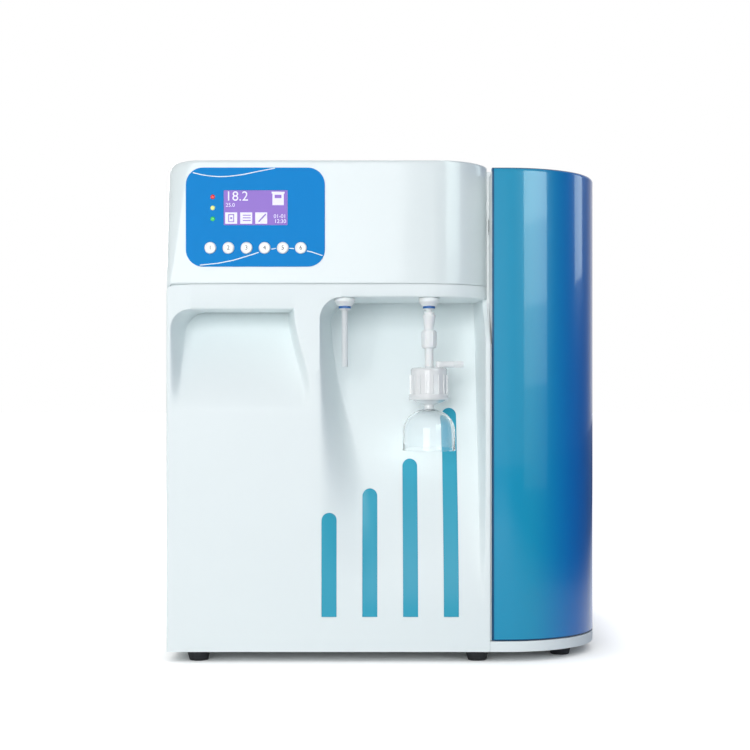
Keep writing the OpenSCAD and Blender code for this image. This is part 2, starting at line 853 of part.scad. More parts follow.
module outlet_bushings() {
    color(white)
    for (x = [nozzle_x, filter_x])
        at_outlet(x)
            difference() {
                union() {
                    translate([0, 0, bay_ceiling_z - 4.5])
                        cylinder(r = bushing_dia / 2, h = 4.4, $fn = 64);
                    translate([0, 0, outlet_z])
                        cylinder(r1 = 7, r2 = bushing_dia / 2, h = bushing_h - 4.5, $fn = 64);
                    translate([0, 0, bay_ceiling_z - 1])
                        cylinder(r = bushing_stem_r, h = 9.5, $fn = 48);
                    translate([0, 0, bay_ceiling_z + fascia_wall + 0.2])
                        cylinder(r = 11, h = 5, $fn = 6);
                }
                translate([0, 0, outlet_z - 1])
                    cylinder(r = tube_dia / 2 + 1.75, h = 30, $fn = 40);
            }
}

module outlet_collets() {
    color(nylon)
    for (x = [nozzle_x, filter_x])
        at_outlet(x) {
            translate([0, 0, outlet_z - clip_h - 1.6])
                ring(5.6, tube_dia / 2 + 0.05, 1.5);
            translate([0, 0, outlet_z - clip_h - 1])
                ring(tube_dia / 2 + 1.6, tube_dia / 2 + 0.05, 18);
        }
}

// Blue clips between the collet's collar and the bushing, open at the back
module lock_clips() {
    color(clip_blue)
    for (x = [nozzle_x, filter_x])
        at_outlet(x)
            translate([0, 0, outlet_z - clip_h - 0.05])
            difference() {
                union() {
                    cylinder(r = clip_out_r, h = clip_h, $fn = 48);
                    translate([-2, -clip_out_r - 2, 0]) cube([4, 3, clip_h]);
                }
                translate([0, 0, -1])
                    cylinder(r = tube_dia / 2 + 1.75, h = clip_h + 2, $fn = 40);
                translate([-4.2, 0, -1]) cube([8.4, 10, clip_h + 2]);
            }
}

module nozzle_tube() {
    color(clear_plastic)
    at_outlet(nozzle_x)
        translate([0, 0, outlet_z - tube_l])
            difference() {
                ring(tube_dia / 2, tube_bore / 2, tube_l + 12);
                // Groove that marks how deep the tube goes in
                translate([0, 0, tube_l - 4.5])
                    ring(tube_dia, tube_dia / 2 - 0.4, 0.9);
            }
}

// Heights along the final filter, down from the collet
stem_top_z = outlet_z - clip_h - collet_h + 1;
nut_z = outlet_z - 40.5;
capsule_top_z = outlet_z - 61.5;
capsule_h = 27;
flange_h = 6;
vent_lift = 3;
bell_top_z = outlet_z - 103.5;

// White adapter: a barb cone, a hexagon nut and the tube below it
module filter_stem() {
    color(nylon)
    at_outlet(filter_x)
        difference() {
            union() {
                translate([0, 0, stem_top_z - 10]) cylinder(r = tube_dia / 2, h = 22, $fn = 40);
                translate([0, 0, nut_z + 15])
                    cylinder(r1 = 4.4, r2 = 6.4, h = stem_top_z - nut_z - 21, $fn = 48);
                translate([0, 0, stem_top_z - 6]) cylinder(r = 6.4, h = 1.5, $fn = 48);
                translate([0, 0, stem_top_z - 3]) cylinder(r = 5.4, h = 1.6, $fn = 48);
                translate([0, 0, nut_z]) cylinder(r = 8, h = 15, $fn = 6);
                translate([0, 0, nut_z + 14]) cylinder(r1 = 7, r2 = 4.4, h = 3, $fn = 48);
                translate([0, 0, capsule_top_z - 0.05])
                    cylinder(r = 4.4, h = nut_z - capsule_top_z + 1, $fn = 48);
            }
            translate([0, 0, capsule_top_z - 5])
                cylinder(r = tube_bore / 2, h = 80, $fn = 32);
        }
}

// Capsule: a cylinder over a wider welded flange, a cone and the bell's neck
module filter_capsule() {
    z0 = capsule_top_z - capsule_h;
    color(clear_plastic)
    at_outlet(filter_x)
        difference() {
            union() {
                translate([0, 0, z0]) cylinder(r = capsule_dia / 2, h = capsule_h - 3, $fn = 64);
                translate([0, 0, capsule_top_z - 3.1])
                    cylinder(r1 = capsule_dia / 2, r2 = 10, h = 3, $fn = 64);
                translate([0, 0, z0 - flange_h])
                    cylinder(r = capsule_dia / 2 + 1.8, h = flange_h, $fn = 64);
                for (a = [0:20:340])
                    rotate([0, 0, a])
                        translate([capsule_dia / 2 - 0.5, -0.6, z0 - 0.1])
                        cube([1.6, 1.2, capsule_h - 8]);
                translate([0, 0, z0 - flange_h - 5])
                    cylinder(r1 = 5.6, r2 = capsule_dia / 2 - 1, h = 5.1, $fn = 64);
                translate([0, 0, bell_top_z + 0.1])
                    cylinder(r = 4.6, h = z0 - flange_h - bell_top_z - 4, $fn = 48);
                // Vent arm, on a boss that stands on the capsule's shoulder
                translate([10, 0, capsule_top_z - 4]) cylinder(r = 3.4, h = vent_lift + 7.2, $fn = 32);
                translate([10, 0, capsule_top_z + vent_lift])
                    rotate([0, 90, 0]) cylinder(r = 3.2, h = capsule_dia / 2 - 3, $fn = 32);
            }
            translate([0, 0, bell_top_z - 1])
                cylinder(r = 2, h = z0 - flange_h - bell_top_z, $fn = 32);
        }
}

module filter_vent() {
    color(nylon)
    at_outlet(filter_x)
        translate([capsule_dia / 2 + 7.1, 0, capsule_top_z + vent_lift])
        rotate([0, 90, 0]) {
            cylinder(r = 3.9, h = 7, $fn = 6);
            translate([0, 0, 6.9]) cylinder(r = 3, h = 2.2, $fn = 32);
        }
}

// Bell: a thin dome that opens downwards, with a thick rim
module bell_profile() {
    r = bell_dia / 2;
    dome = 25;
    zb = bell_top_z - bell_h;
    zd = bell_top_z - dome;
    rx = r - bell_wall;
    ry = dome - bell_wall;
    polygon(concat(
        [[rx - 0.2, zb], [r + 0.3, zb], [r + 0.3, zb + 2], [r, zb + 3]],
        [for (a = [0:4:76]) [r * pow(cos(a), 0.9), zd + dome * pow(sin(a), 0.9)]],
        [[6, bell_top_z], [2.1, bell_top_z], [2.1, bell_top_z - bell_wall]],
        [for (a = [84:-4:0]) [rx * pow(cos(a), 0.9), zd + ry * pow(sin(a), 0.9)]],
        [[rx, zb + 3], [rx - 0.2, zb + 2.2]]
    ));
}

module filter_bell() {
    color(clear_plastic)
    at_outlet(filter_x) rotate_extrude($fn = 72) bell_profile();
}

// ---------- Door ----------

module door_walls(h) {
    linear_extrude(h)
    intersection() {
        difference() {
            body_plan();
            body_plan(door_wall);
        }
        door_zone();
    }
}

// Where the door lies in plan: from its left edge, round to the hinge
module door_zone() {
    union() {
        translate([door_left_x, front_y - 1])
            square([body_w, hinge_y - front_y + 1]);
        translate([hinge_x, hinge_y])
            intersection() {
                circle(r = door_end_r, $fn = 64);
                translate([hinge_in - door_wall, -1]) square([20, 20]);
            }
    }
}

module side_door() {
    h = door_top_z - door_bottom_z;
    color(door_blue)
    difference() {
        union() {
            translate([0, 0, door_bottom_z]) door_walls(h);
            for (z = [door_bottom_z, door_top_z - door_wall])
                translate([0, 0, z])
                    linear_extrude(door_wall)
                    intersection() {
                        difference() {
                            body_plan();
                            body_plan(door_lip);
                        }
                        door_zone();
                    }
            // Hinge eyes under the top lip and on the bottom lip
            for (z = [door_bottom_z + door_wall - 0.1, door_top_z - door_wall])
                translate([hinge_x, hinge_y, z])
                    cylinder(r = 4.4, h = z > 100 ? door_wall : 10, $fn = 40);
            // Upright return along the door's front edge, under the top plate
            translate([door_left_x, front_y + 0.5, door_bottom_z])
                cube([3, return_plate_d, bay_top_z - 0.5 - door_bottom_z]);
            // Stiffening ribs inside the side wall
            for (k = [1:3])
                translate([0, 0, door_bottom_z + k * (h - 114) / 3])
                    linear_extrude(2.5)
                    intersection() {
                        difference() {
                            body_plan(door_wall - 0.5);
                            body_plan(door_wall + 4);
                        }
                        translate([door_left_x, front_y]) square([body_w, body_d - 60]);
                    }
        }
        translate([hinge_x, hinge_y, door_bottom_z - 1])
            cylinder(r = hinge_pin_r, h = h + 2, $fn = 40);
    }
}

module hinge_pins() {
    color(steel)
    translate([hinge_x, hinge_y, 0]) {
        translate([0, 0, floor_z + 4])
            cylinder(r = hinge_pin_r, h = plinth_h + 6, $fn = 40);
        translate([0, 0, bay_top_z - 3])
            cylinder(r = hinge_pin_r, h = door_top_z - bay_top_z + 3, $fn = 40);
    }
}

catch_zs = [floor_z + 70, bay_top_z - 48.5];
return_plate_d = 44;

module door_strikers() {
    color(steel)
    for (z = catch_zs)
        translate([door_left_x + 3.05, front_y + return_plate_d - 1.2, z - 9]) {
            cube([12, 1.5, 18]);
            translate([0, -8, 0]) cube([1.5, 9, 18]);
        }
}

module catch_magnets() {
    color(grey_plastic)
    for (z = catch_zs)
        translate([front_right_x + 0.35 + sheet, front_y + return_plate_d + 0.9, z - 8])
            difference() {
                cube([16, 18, 16]);
                translate([5, -1, 5]) cube([7, 2, 6]);
            }
}

// ---------- Cartridges ----------

module at_cartridge(k)
    translate([cartridge_x, cartridge_y0 + k * cartridge_pitch, cartridge_z0]) children();

// Body of a cartridge: foot, tube with grooves, and shoulder
module cartridge_body(r, h) {
    difference() {
        rotate_extrude($fn = 64)
            polygon([
                [0, 0], [r - 6, 0], [r - 1, 4], [r, 10], [r, h - 16],
                [r - 3, h - 6], [r * 0.68, h], [0, h]
            ]);
        for (z = [24, h - 36])
            translate([0, 0, z])
                difference() {
                    cylinder(r = r + 1, h = 3);
                    translate([0, 0, -1]) cylinder(r = r - 1.2, h = 5, $fn = 64);
                }
    }
}

module pretreatment_cartridge()
    color([0.90, 0.93, 0.95])
    at_cartridge(0) cartridge_body(cartridge_dia / 2, cartridge_h);

module ro_membrane_housing()
    color([0.95, 0.96, 0.97])
    at_cartridge(1) cartridge_body(cartridge_dia / 2 - 5, cartridge_h);

module polishing_cartridges()
    color([0.80, 0.88, 0.93])
    for (k = [2, 3])
        at_cartridge(k) cartridge_body(cartridge_dia / 2, cartridge_h);

// Screw caps with grip ribs and two hose spigots each
module cartridge_caps() {
    color(clip_blue)
    for (k = [0:3])
        at_cartridge(k)
            translate([0, 0, cartridge_h + 0.05])
            difference() {
                union() {
                    cylinder(r = cap_r, h = cap_h - 12, $fn = 64);
                    translate([0, 0, cap_h - 12.1])
                        cylinder(r1 = cap_r, r2 = cap_r * 0.77, h = 6, $fn = 64);
                    for (a = [0:30:330])
                        rotate([0, 0, a]) translate([cap_r - 1, -1.5, 0])
                            cube([2.5, 3, cap_h - 13]);
                    for (s = [-1, 1])
                        translate([0, s * cap_r / 2, cap_h - 8])
                            cylinder(r = cap_r / 4, h = 12, $fn = 32);
                }
            }
}

clip_t = 2.5;
module cartridge_clips() {
    color(grey_plastic)
    for (k = [0:3], z = clip_zs)
        translate([cartridge_x, cartridge_y0 + k * cartridge_pitch, z])
            difference() {
                r = (k == 1 ? cartridge_dia / 2 - 5 : cartridge_dia / 2) + 0.15;
                union() {
                    difference() {
                        cylinder(r = r + clip_t, h = 14, $fn = 64);
                        translate([r * 0.45, -60, -1]) cube([80, 120, 20]);
                    }
                    translate([bay_x0 - cartridge_x, -r * 0.38, 0])
                        cube([cartridge_x - bay_x0 - r + 1, r * 0.76, 14]);
                }
                translate([0, 0, -1]) cylinder(r = r, h = 16, $fn = 64);
            }
}

// Hoses: half rings from cap to cap
module cartridge_hoses() {
    z = cartridge_z0 + cartridge_h + cap_h + hose_lift;
    color([0.85, 0.90, 0.93])
    for (k = [0:2])
        translate([cartridge_x, cartridge_y0 + (k + 0.5) * cartridge_pitch, z])
            rotate([0, 0, 90]) rotate([90, 0, 0])
            rotate_extrude(angle = 180, $fn = 64)
            translate([hose_span / 2, 0]) circle(d = hose_dia, $fn = 24);
}

// ---------- Inside the cabinet ----------

tray_z = floor_z + 2.5;
pump_x = front_right_x - 84;
pump_y = back_y - 134;
pump_r = pump_dia / 2;
pump_z = tray_z + pump_r + 14;

module pump_bracket() {
    color(steel)
    translate([pump_x - pump_r - 5, pump_y - 60, tray_z])
        difference() {
            union() {
                cube([pump_dia + 10, pump_l + 26, 2]);
                for (y = [10, pump_l - 8])
                    translate([5, y, 0]) cube([pump_dia, 3, pump_r - 4]);
            }
            for (y = [8, pump_l - 10])
                translate([pump_r + 5, y, pump_z - tray_z])
                    rotate([-90, 0, 0]) cylinder(r = pump_r + 0.1, h = 8, $fn = 64);
        }
}

module pump_motor() {
    color(grey_plastic)
    translate([pump_x, pump_y - 56, pump_z]) rotate([-90, 0, 0]) {
        cylinder(r = pump_r, h = pump_l, $fn = 64);
        for (a = [0:45:315])
            rotate([0, 0, a]) translate([pump_r - 1, -1.5, 2]) cube([3, 3, 2.5]);
    }
}

module pump_head() {
    color(dark_rubber)
    translate([pump_x, pump_y - 56 + pump_l + 0.1, pump_z]) rotate([-90, 0, 0]) {
        cylinder(r = pump_r + 4, h = 14, $fn = 64);
        translate([0, 0, 13.9]) cylinder(r = pump_r, h = 16, $fn = 64);
        for (s = [-1, 1])
            translate([s * 14, 0, 12]) rotate([90, 0, 0])
                cylinder(r = 7, h = pump_r + 8, $fn = 32);
    }
}

module power_supply() {
    color(steel)
    translate([left_x + 30, back_y - psu_l - 34, tray_z + 0.05])
        difference() {
            cube([psu_w, psu_l, psu_h]);
            for (i = [0:8])
                translate([-1, psu_l * (0.13 + 0.093 * i), 10]) cube([4, 6, psu_h - 20]);
        }
}

reactor_r = reactor_dia / 2;
module at_reactor(z)
    translate([left_x + 80, back_y - reactor_r - 49, floor_z + 205 + z]) children();

module uv_reactor() {
    color([0.78, 0.79, 0.80])
    at_reactor(0) {
        cylinder(r = reactor_r, h = reactor_l, $fn = 64);
        for (z = [-12, reactor_l])
            translate([0, 0, z]) cylinder(r = reactor_r - 6, h = 12, $fn = 48);
        for (z = [22, reactor_l - 22])
            translate([0, 0, z]) rotate([90, 0, 0])
                cylinder(r = 5, h = reactor_r + 17, $fn = 32);
    }
}

module uv_clips() {
    color(grey_plastic)
    for (z = [35, reactor_l - 45])
        at_reactor(z)
            difference() {
                union() {
                    difference() {
                        cylinder(r = reactor_r + 3, h = 12, $fn = 64);
                        translate([-reactor_dia, -10 - reactor_dia, -1])
                            cube([2 * reactor_dia, reactor_dia, 14]);
                    }
                    translate([-12, reactor_r - 5, 0])
                        cube([24, 54 - sheet - 0.1, 12]);
                }
                translate([0, 0, -1]) cylinder(r = reactor_r + 0.1, h = 14, $fn = 64);
            }
}

module solenoid_valves() {
    x0 = front_right_x + 0.2;
    color(dark_rubber)
    for (k = [0:2])
        translate([x0 - 40, back_y - 204 + k * 44, floor_z + 200]) {
            cube([40, 30, 26]);
            translate([20, 15, 25.9]) cylinder(r = 12, h = 28, $fn = 40);
            translate([20, 30, 12]) rotate([-90, 0, 0]) cylinder(r = 5, h = 6, $fn = 24);
            translate([20, -6, 12]) rotate([-90, 0, 0]) cylinder(r = 5, h = 7, $fn = 24);
        }
}

// ---------- Rear ----------

port_bore_r = 3.25;

module rear_ports() {
    color(nylon)
    port_xs()
        translate([0, back_y, 0]) rotate([-90, 0, 0])
        difference() {
            union() {
                translate([0, 0, 0.05]) cylinder(r = 11, h = 4, $fn = 6);
                translate([0, 0, -14]) cylinder(r = 7, h = 22, $fn = 40);
                translate([0, 0, -sheet - 5.2]) cylinder(r = 11, h = 5, $fn = 6);
            }
            translate([0, 0, -6]) cylinder(r = 4.6, h = 20, $fn = 40);
            translate([0, 0, -15]) cylinder(r = 2.2, h = 20, $fn = 32);
        }
}

module port_collets() {
    color(clip_blue)
    port_xs()
        translate([0, back_y, 0]) rotate([-90, 0, 0]) {
            translate([0, 0, -5]) ring(4.5, port_bore_r, 14.1);
            translate([0, 0, 8.1]) ring(6, port_bore_r, port_reach - 8.1);
        }
}

rocker_z = inlet_z + 14.5;
rocker_tilt = 8;
pivot_r = 1.4;
pivot_clear = 0.06;

module power_inlet() {
    color(dark_rubber)
    translate([inlet_x, back_y, inlet_z])
        difference() {
            union() {
                translate([-inlet_w / 2, -24, -inlet_h / 2])
                    cube([inlet_w, 24.2, inlet_h]);
                translate([-inlet_w / 2 - 3, 0.05, -inlet_h / 2 - 3])
                    cube([inlet_w + 6, 2.5, inlet_h + 6]);
            }
            // Socket for the plug
            translate([-12, -17, -19]) cube([24, 25, 16.5]);
            // Well of the rocker, and the bores of its pivots
            translate([-10.5, -8, rocker_z - inlet_z - 6.6]) cube([21, 20, 13.2]);
            translate([-12.2, -2, rocker_z - inlet_z])
                rotate([0, 90, 0]) cylinder(r = pivot_r + pivot_clear, h = 24.4, $fn = 32);
        }
}

module inlet_pins() {
    color(steel)
    translate([inlet_x, back_y - 17, inlet_z - 11])
        for (p = [[-7, 2], [0, -2.5], [7, 2]])
            translate([p[0] - 1, 0, p[1] - 2]) cube([2, 11, 4]);
}

// Rocker of the mains switch, standing in its off position
module power_rocker() {
    color(dark_rubber)
    translate([inlet_x, back_y - 2, rocker_z])
        rotate([rocker_tilt, 0, 0])
        union() {
            translate([-10, -3, -5.6])
                rotate([90, 0, 90])
                linear_extrude(20)
                polygon([[0, 2], [0, 9.2], [4.8, 11.2], [6.4, 5.6], [4.8, 0]]);
            translate([-11.8, 0, 0]) rotate([0, 90, 0])
                cylinder(r = pivot_r, h = 23.6, $fn = 32);
        }
}

module cooling_fan() {
    y = back_y - sheet - 25.1;
    color(dark_rubber)
    translate([fan_x, y, fan_z]) rotate([-90, 0, 0])
        difference() {
            union() {
                difference() {
                    translate([-fan_side / 2, -fan_side / 2, 0]) cube([fan_side, fan_side, 25]);
                    translate([0, 0, -1]) cylinder(r = fan_side * 0.46, h = 27, $fn = 64);
                }
                translate([0, 0, 3]) cylinder(r = 15, h = 19, $fn = 48);
                for (a = [0:90:270])
                    rotate([0, 0, a]) translate([0, -2, 1]) cube([fan_side / 2, 4, 3]);
                for (a = [0:51.42:359])
                    rotate([0, 0, a]) translate([12, -1, 8]) rotate([35, 0, 0])
                        cube([fan_side * 0.46 - 15, 2, 12]);
            }
        }
}

base_tray();
feet();
foot_screws();
left_side_panel();
rear_panel();
top_cover();
bay_top();
partition_plate();
front_fascia();
stripe_inlays();
head_cover();
control_panel();
display_window();
lcd_module();
control_board();
lamp_red();
lamp_yellow();
lamp_green();
key_1();
key_2();
key_3();
key_4();
key_5();
key_6();
outlet_bushings();
outlet_collets();
lock_clips();
nozzle_tube();
filter_stem();
filter_capsule();
filter_vent();
filter_bell();
side_door();
hinge_pins();
door_strikers();
catch_magnets();
pretreatment_cartridge();
ro_membrane_housing();
polishing_cartridges();
cartridge_caps();
cartridge_clips();
cartridge_hoses();
pump_motor();
pump_head();
pump_bracket();
power_supply();
uv_reactor();
uv_clips();
solenoid_valves();
rear_ports();
port_collets();
power_inlet();
inlet_pins();
power_rocker();
cooling_fan();
panel_screws();
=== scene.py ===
import bpy, bmesh, json, math
from mathutils import Matrix, Vector


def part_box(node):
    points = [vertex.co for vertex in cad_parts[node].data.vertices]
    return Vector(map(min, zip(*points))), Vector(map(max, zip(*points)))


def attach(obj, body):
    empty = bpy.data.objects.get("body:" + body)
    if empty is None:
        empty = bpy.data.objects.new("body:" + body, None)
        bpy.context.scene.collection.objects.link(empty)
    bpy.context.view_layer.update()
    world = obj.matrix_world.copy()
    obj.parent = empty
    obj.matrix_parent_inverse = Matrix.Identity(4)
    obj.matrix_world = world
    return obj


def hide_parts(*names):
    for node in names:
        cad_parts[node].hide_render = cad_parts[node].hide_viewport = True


# Bench ultrapure water system: a white cabinet with a moulded front and a head over it, a blue
# door wrapped round its right side, and two water outlets, the right one with a final filter.
# x runs to the right, y to the back and z up. Sizes are in mm until a mesh takes them.

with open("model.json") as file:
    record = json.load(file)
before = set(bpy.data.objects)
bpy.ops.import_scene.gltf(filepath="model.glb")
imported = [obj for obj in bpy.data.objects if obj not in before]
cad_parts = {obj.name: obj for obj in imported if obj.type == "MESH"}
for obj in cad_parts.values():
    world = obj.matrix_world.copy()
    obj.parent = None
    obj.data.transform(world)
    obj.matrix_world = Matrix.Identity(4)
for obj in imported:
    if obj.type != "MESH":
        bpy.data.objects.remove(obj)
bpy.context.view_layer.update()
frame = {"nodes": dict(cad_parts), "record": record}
N = frame["nodes"]
MM = 0.001

# ---------------------------------------------------------------- sizes, mm
def span(node, axis):
    """Lowest and highest place of a CAD node along an axis."""
    i = "xyz".index(axis)
    low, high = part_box(node)
    return round(low[i] / MM, 3), round(high[i] / MM, 3)


def middle(node, axis):
    return sum(span(node, axis)) / 2


def reach(node, axis):
    low, high = span(node, axis)
    return high - low


# Cabinet: side planes, front and rear planes, height
LEFT, FASCIA_X1 = span("front_fascia", "x")
RIGHT = span("side_door", "x")[1]
FRONT, BACK = span("front_fascia", "y")[0], span("rear_panel", "y")[1]
TOP = span("head_cover", "z")[1]
# The seam lies a gap over the fascia and a gap under the head
SEAM_GAP = 0.2
FASCIA_Z0, SEAM = span("front_fascia", "z")[0], span("front_fascia", "z")[1] + SEAM_GAP
# Front fascia: width, wall, and the flat rim beside its scoops
FRONT_W, WALL, RIM = reach("front_fascia", "x"), 2.0, 4.0
# Head: depth and the round of its right corner
HEAD_D, HEAD_R = reach("head_cover", "y"), 60.0
# The head's lower left end turns down over the fascia, by this width and radius
TURN_W, TURN_R = 12, 9
# Left scoop and outlet bay: ceiling, depth, and where the toe starts
SCOOP_TOP, SCOOP_DEPTH, SCOOP_TOE = 353.0, 62.0, 250
BAY_TOP, BAY_DEPTH, BAY_TOE = 365.0, 98.0, 52
# Inlaid stripes: half width, lower end and tops, the first one's middle, and the pitch
STRIPE_R, STRIPE_Z0, STRIPE_TOPS = 7.5, span("stripe_inlays", "z")[0], (149, 172, 202, 254)
STRIPE_X0 = span("stripe_inlays", "x")[0] + STRIPE_R
STRIPE_PITCH = (reach("stripe_inlays", "x") - 2 * STRIPE_R) / (len(STRIPE_TOPS) - 1)
# Outlets: the bushings' radius, the plain tube's place and the filter's
BUSHING_R = 11
NOZ_X = span("outlet_bushings", "x")[0] + BUSHING_R
OUT_X = span("outlet_bushings", "x")[1] - BUSHING_R
OUT_Y = middle("outlet_bushings", "y")
# Final filter: the top of its bell, from which its heights are given, and its side vent
FILTER_Z, VENT_Z = span("filter_bell", "z")[1], middle("filter_vent", "z")
# Door: front edge, lower and upper edges, front corner's radius, wall and hinge
DOOR_X = span("side_door", "x")[0]
DOOR_Z0, DOOR_Z1 = span("side_door", "z")
DOOR_R, DOOR_WALL = 100, 3
HINGE = (middle("hinge_pins", "x"), middle("hinge_pins", "y"))
# Control panel: centre, size and front face
PANEL_X, PANEL_Z = middle("control_panel", "x"), middle("control_panel", "z")
PANEL_W, PANEL_H = reach("control_panel", "x"), reach("control_panel", "z")
PANEL_Y = span("control_panel", "y")[0]
# Display: centre, and the size of its opening in the panel
LCD_X, LCD_Z = middle("display_window", "x"), middle("display_window", "z")
LCD_W, LCD_H = 64, 35
# Keys and lamps
KEY_R, KEY_Z = 5.7, middle("key_1", "z")
KEY_XS = [span("key_%d" % k, "x")[1] - KEY_R for k in range(1, 7)]
LAMPS = ("lamp_red", "lamp_yellow", "lamp_green")
LAMP_X, LAMP_ZS = middle("lamp_red", "x"), [middle(lamp, "z") for lamp in LAMPS]


# ---------------------------------------------------------------- finishes
def linear(c):
    c = c / 255.0
    return c / 12.92 if c <= 0.04045 else ((c + 0.055) / 1.055) ** 2.4


def rgb(r, g, b):
    """A colour as a screen shows it, 0 to 255, turned linear."""
    return (linear(r), linear(g), linear(b), 1.0)


def add_node(tree, kind, values=(), **settings):
    """A shader node with its settings, then the values of its sockets."""
    node = tree.nodes.new(kind)
    for name, value in settings.items():
        setattr(node, name, value)
    for socket, value in dict(values).items():
        node.inputs[socket].default_value = value
    return node


def wire(tree, *pairs):
    """Links each (output, input) pair."""
    for output, socket in pairs:
        tree.links.new(output, socket)


def skin_group():
    """Fine unevenness of a moulded or coated skin: a roughness and a normal."""
    tree = bpy.data.node_groups.new("SkinFinish", "ShaderNodeTree")
    for name, value in (("Rough", 0.3), ("Spread", 0.05), ("Scale", 40.0), ("Bump", 0.1)):
        socket = tree.interface.new_socket(name=name, in_out="INPUT",
                                           socket_type="NodeSocketFloat")
        socket.default_value = value
    tree.interface.new_socket(name="Roughness", in_out="OUTPUT", socket_type="NodeSocketFloat")
    tree.interface.new_socket(name="Normal", in_out="OUTPUT", socket_type="NodeSocketVector")
    given = add_node(tree, "NodeGroupInput")
    result = add_node(tree, "NodeGroupOutput")
    place = add_node(tree, "ShaderNodeTexCoord")
    clouds = add_node(tree, "ShaderNodeTexNoise", {"Detail": 3.0})
    grain = add_node(tree, "ShaderNodeTexNoise", {"Detail": 1.0})
    grain_scale = add_node(tree, "ShaderNodeMath", {1: 22.0}, operation="MULTIPLY")
    about_zero = add_node(tree, "ShaderNodeMath", {1: 0.5}, operation="SUBTRACT")
    rough = add_node(tree, "ShaderNodeMath", operation="MULTIPLY_ADD")
    bump = add_node(tree, "ShaderNodeBump", {"Distance": 0.0001})
    wire(tree,
         (place.outputs["Object"], clouds.inputs["Vector"]),
         (place.outputs["Object"], grain.inputs["Vector"]),
         (given.outputs["Scale"], clouds.inputs["Scale"]),
         (given.outputs["Scale"], grain_scale.inputs[0]),
         (grain_scale.outputs[0], grain.inputs["Scale"]),
         (clouds.outputs["Fac"], about_zero.inputs[0]),
         (about_zero.outputs[0], rough.inputs[0]),
         (given.outputs["Spread"], rough.inputs[1]),
         (given.outputs["Rough"], rough.inputs[2]),
         (grain.outputs["Fac"], bump.inputs["Height"]),
         (given.outputs["Bump"], bump.inputs["Strength"]),
         (rough.outputs[0], result.inputs["Roughness"]),
         (bump.outputs["Normal"], result.inputs["Normal"]))
    return tree


SKIN = skin_group()


def finish(name, color, rough=0.35, spread=0.06, scale=40.0, bump=0.06, metal=0.0, coat=0.0,
           trans=0.0, ior=1.46, emit=0.0, sub=0.0, spec=0.5, alpha=1.0):
    """A material of one colour with the skin's unevenness."""
    m = bpy.data.materials.new(name)
    m.use_nodes = True
    m.diffuse_color = color
    tree = m.node_tree
    p = tree.nodes["Principled BSDF"]
    skin = add_node(tree, "ShaderNodeGroup",
                    {"Rough": rough, "Spread": spread, "Scale": scale, "Bump": bump},
                    node_tree=SKIN)
    wire(tree, (skin.outputs["Roughness"], p.inputs["Roughness"]),
         (skin.outputs["Normal"], p.inputs["Normal"]))
    for socket, value in (("Base Color", color), ("Metallic", metal), ("Coat Weight", coat),
                          ("Coat Roughness", 0.06), ("Transmission Weight", trans),
                          ("IOR", ior), ("Alpha", alpha), ("Specular IOR Level", spec)):
        p.inputs[socket].default_value = value
    if emit:
        p.inputs["Emission Color"].default_value = color
        p.inputs["Emission Strength"].default_value = emit
    if sub:
        p.inputs["Subsurface Weight"].default_value = sub
        p.inputs["Subsurface Scale"].default_value = 0.002
    return m


# One finish for each material slot of the record
SLOT_FINISH = {
    "white_shell": finish("BodyWhite", rgb(241, 249, 250), 0.38, 0.06, 30, 0.05, spec=0.16),
    "white_sheet": finish("SheetWhite", rgb(236, 240, 241), 0.45, 0.08, 60, 0.25),
    "door_blue": finish("DoorBlue", rgb(8, 150, 192), 0.28, 0.0, 24, 0.03, coat=0.45, spec=0.2),
    "stripe_teal": finish("StripeTeal", rgb(24, 160, 190), 0.42, 0.05, 60, 0.05),
    "panel_blue": finish("PanelBlue", rgb(0, 138, 216), 0.5, 0.05, 80, 0.08, spec=0.12),
    "display_violet": finish("DisplayViolet", rgb(146, 112, 204), 0.35, 0.02, 40, 0.0,
                             spec=0.2, emit=0.12),
    "lamp_red": finish("LampRed", rgb(225, 40, 35), 0.18, 0.03, 60, 0.0, coat=0.6, emit=0.3),
    "lamp_yellow": finish("LampYellow", rgb(236, 240, 140), 0.18, 0.03, 60, 0.0, coat=0.6,
                          emit=0.3),
    "lamp_green": finish("LampGreen", rgb(60, 205, 95), 0.18, 0.03, 60, 0.0, coat=0.6,
                         emit=0.3),
    "key_white": finish("KeyWhite", rgb(246, 248, 248), 0.28, 0.04, 60, 0.03, coat=0.3),
    "nylon_white": finish("NylonWhite", rgb(238, 241, 242), 0.42, 0.06, 90, 0.12, sub=0.05),
    "clip_blue": finish("ClipBlue", rgb(38, 104, 176), 0.40, 0.05, 90, 0.1),
    "clear_plastic": finish("ClearPlastic", rgb(250, 253, 254), 0.12, 0.03, 50, 0.02,
                            trans=0.3, ior=1.3, alpha=0.55, coat=0.4),
    "black_rubber": finish("BlackRubber", rgb(30, 32, 36), 0.75, 0.1, 120, 0.5),
    "bright_steel": finish("BrightSteel", rgb(196, 198, 200), 0.28, 0.1, 90, 0.15, metal=1.0),
    "psu_aluminium": finish("PlateAluminium", rgb(186, 189, 192), 0.38, 0.1, 90, 0.2,
                            metal=1.0),
    "grey_plastic": finish("GreyPlastic", rgb(128, 133, 138), 0.5, 0.08, 90, 0.3),
    "black_plastic": finish("BlackPlastic", rgb(30, 31, 34), 0.45, 0.08, 90, 0.3),
    "board_green": finish("BoardGreen", rgb(26, 96, 56), 0.3, 0.06, 120, 0.1, coat=0.4),
    "cartridge_white": finish("CartridgeWhite", rgb(232, 237, 240), 0.38, 0.06, 50, 0.08),
    "cartridge_blue": finish("CartridgeBlue", rgb(196, 214, 230), 0.38, 0.06, 50, 0.08),
    "hose_clear": finish("HoseClear", rgb(222, 234, 240), 0.2, 0.04, 60, 0.03, trans=0.4),
}
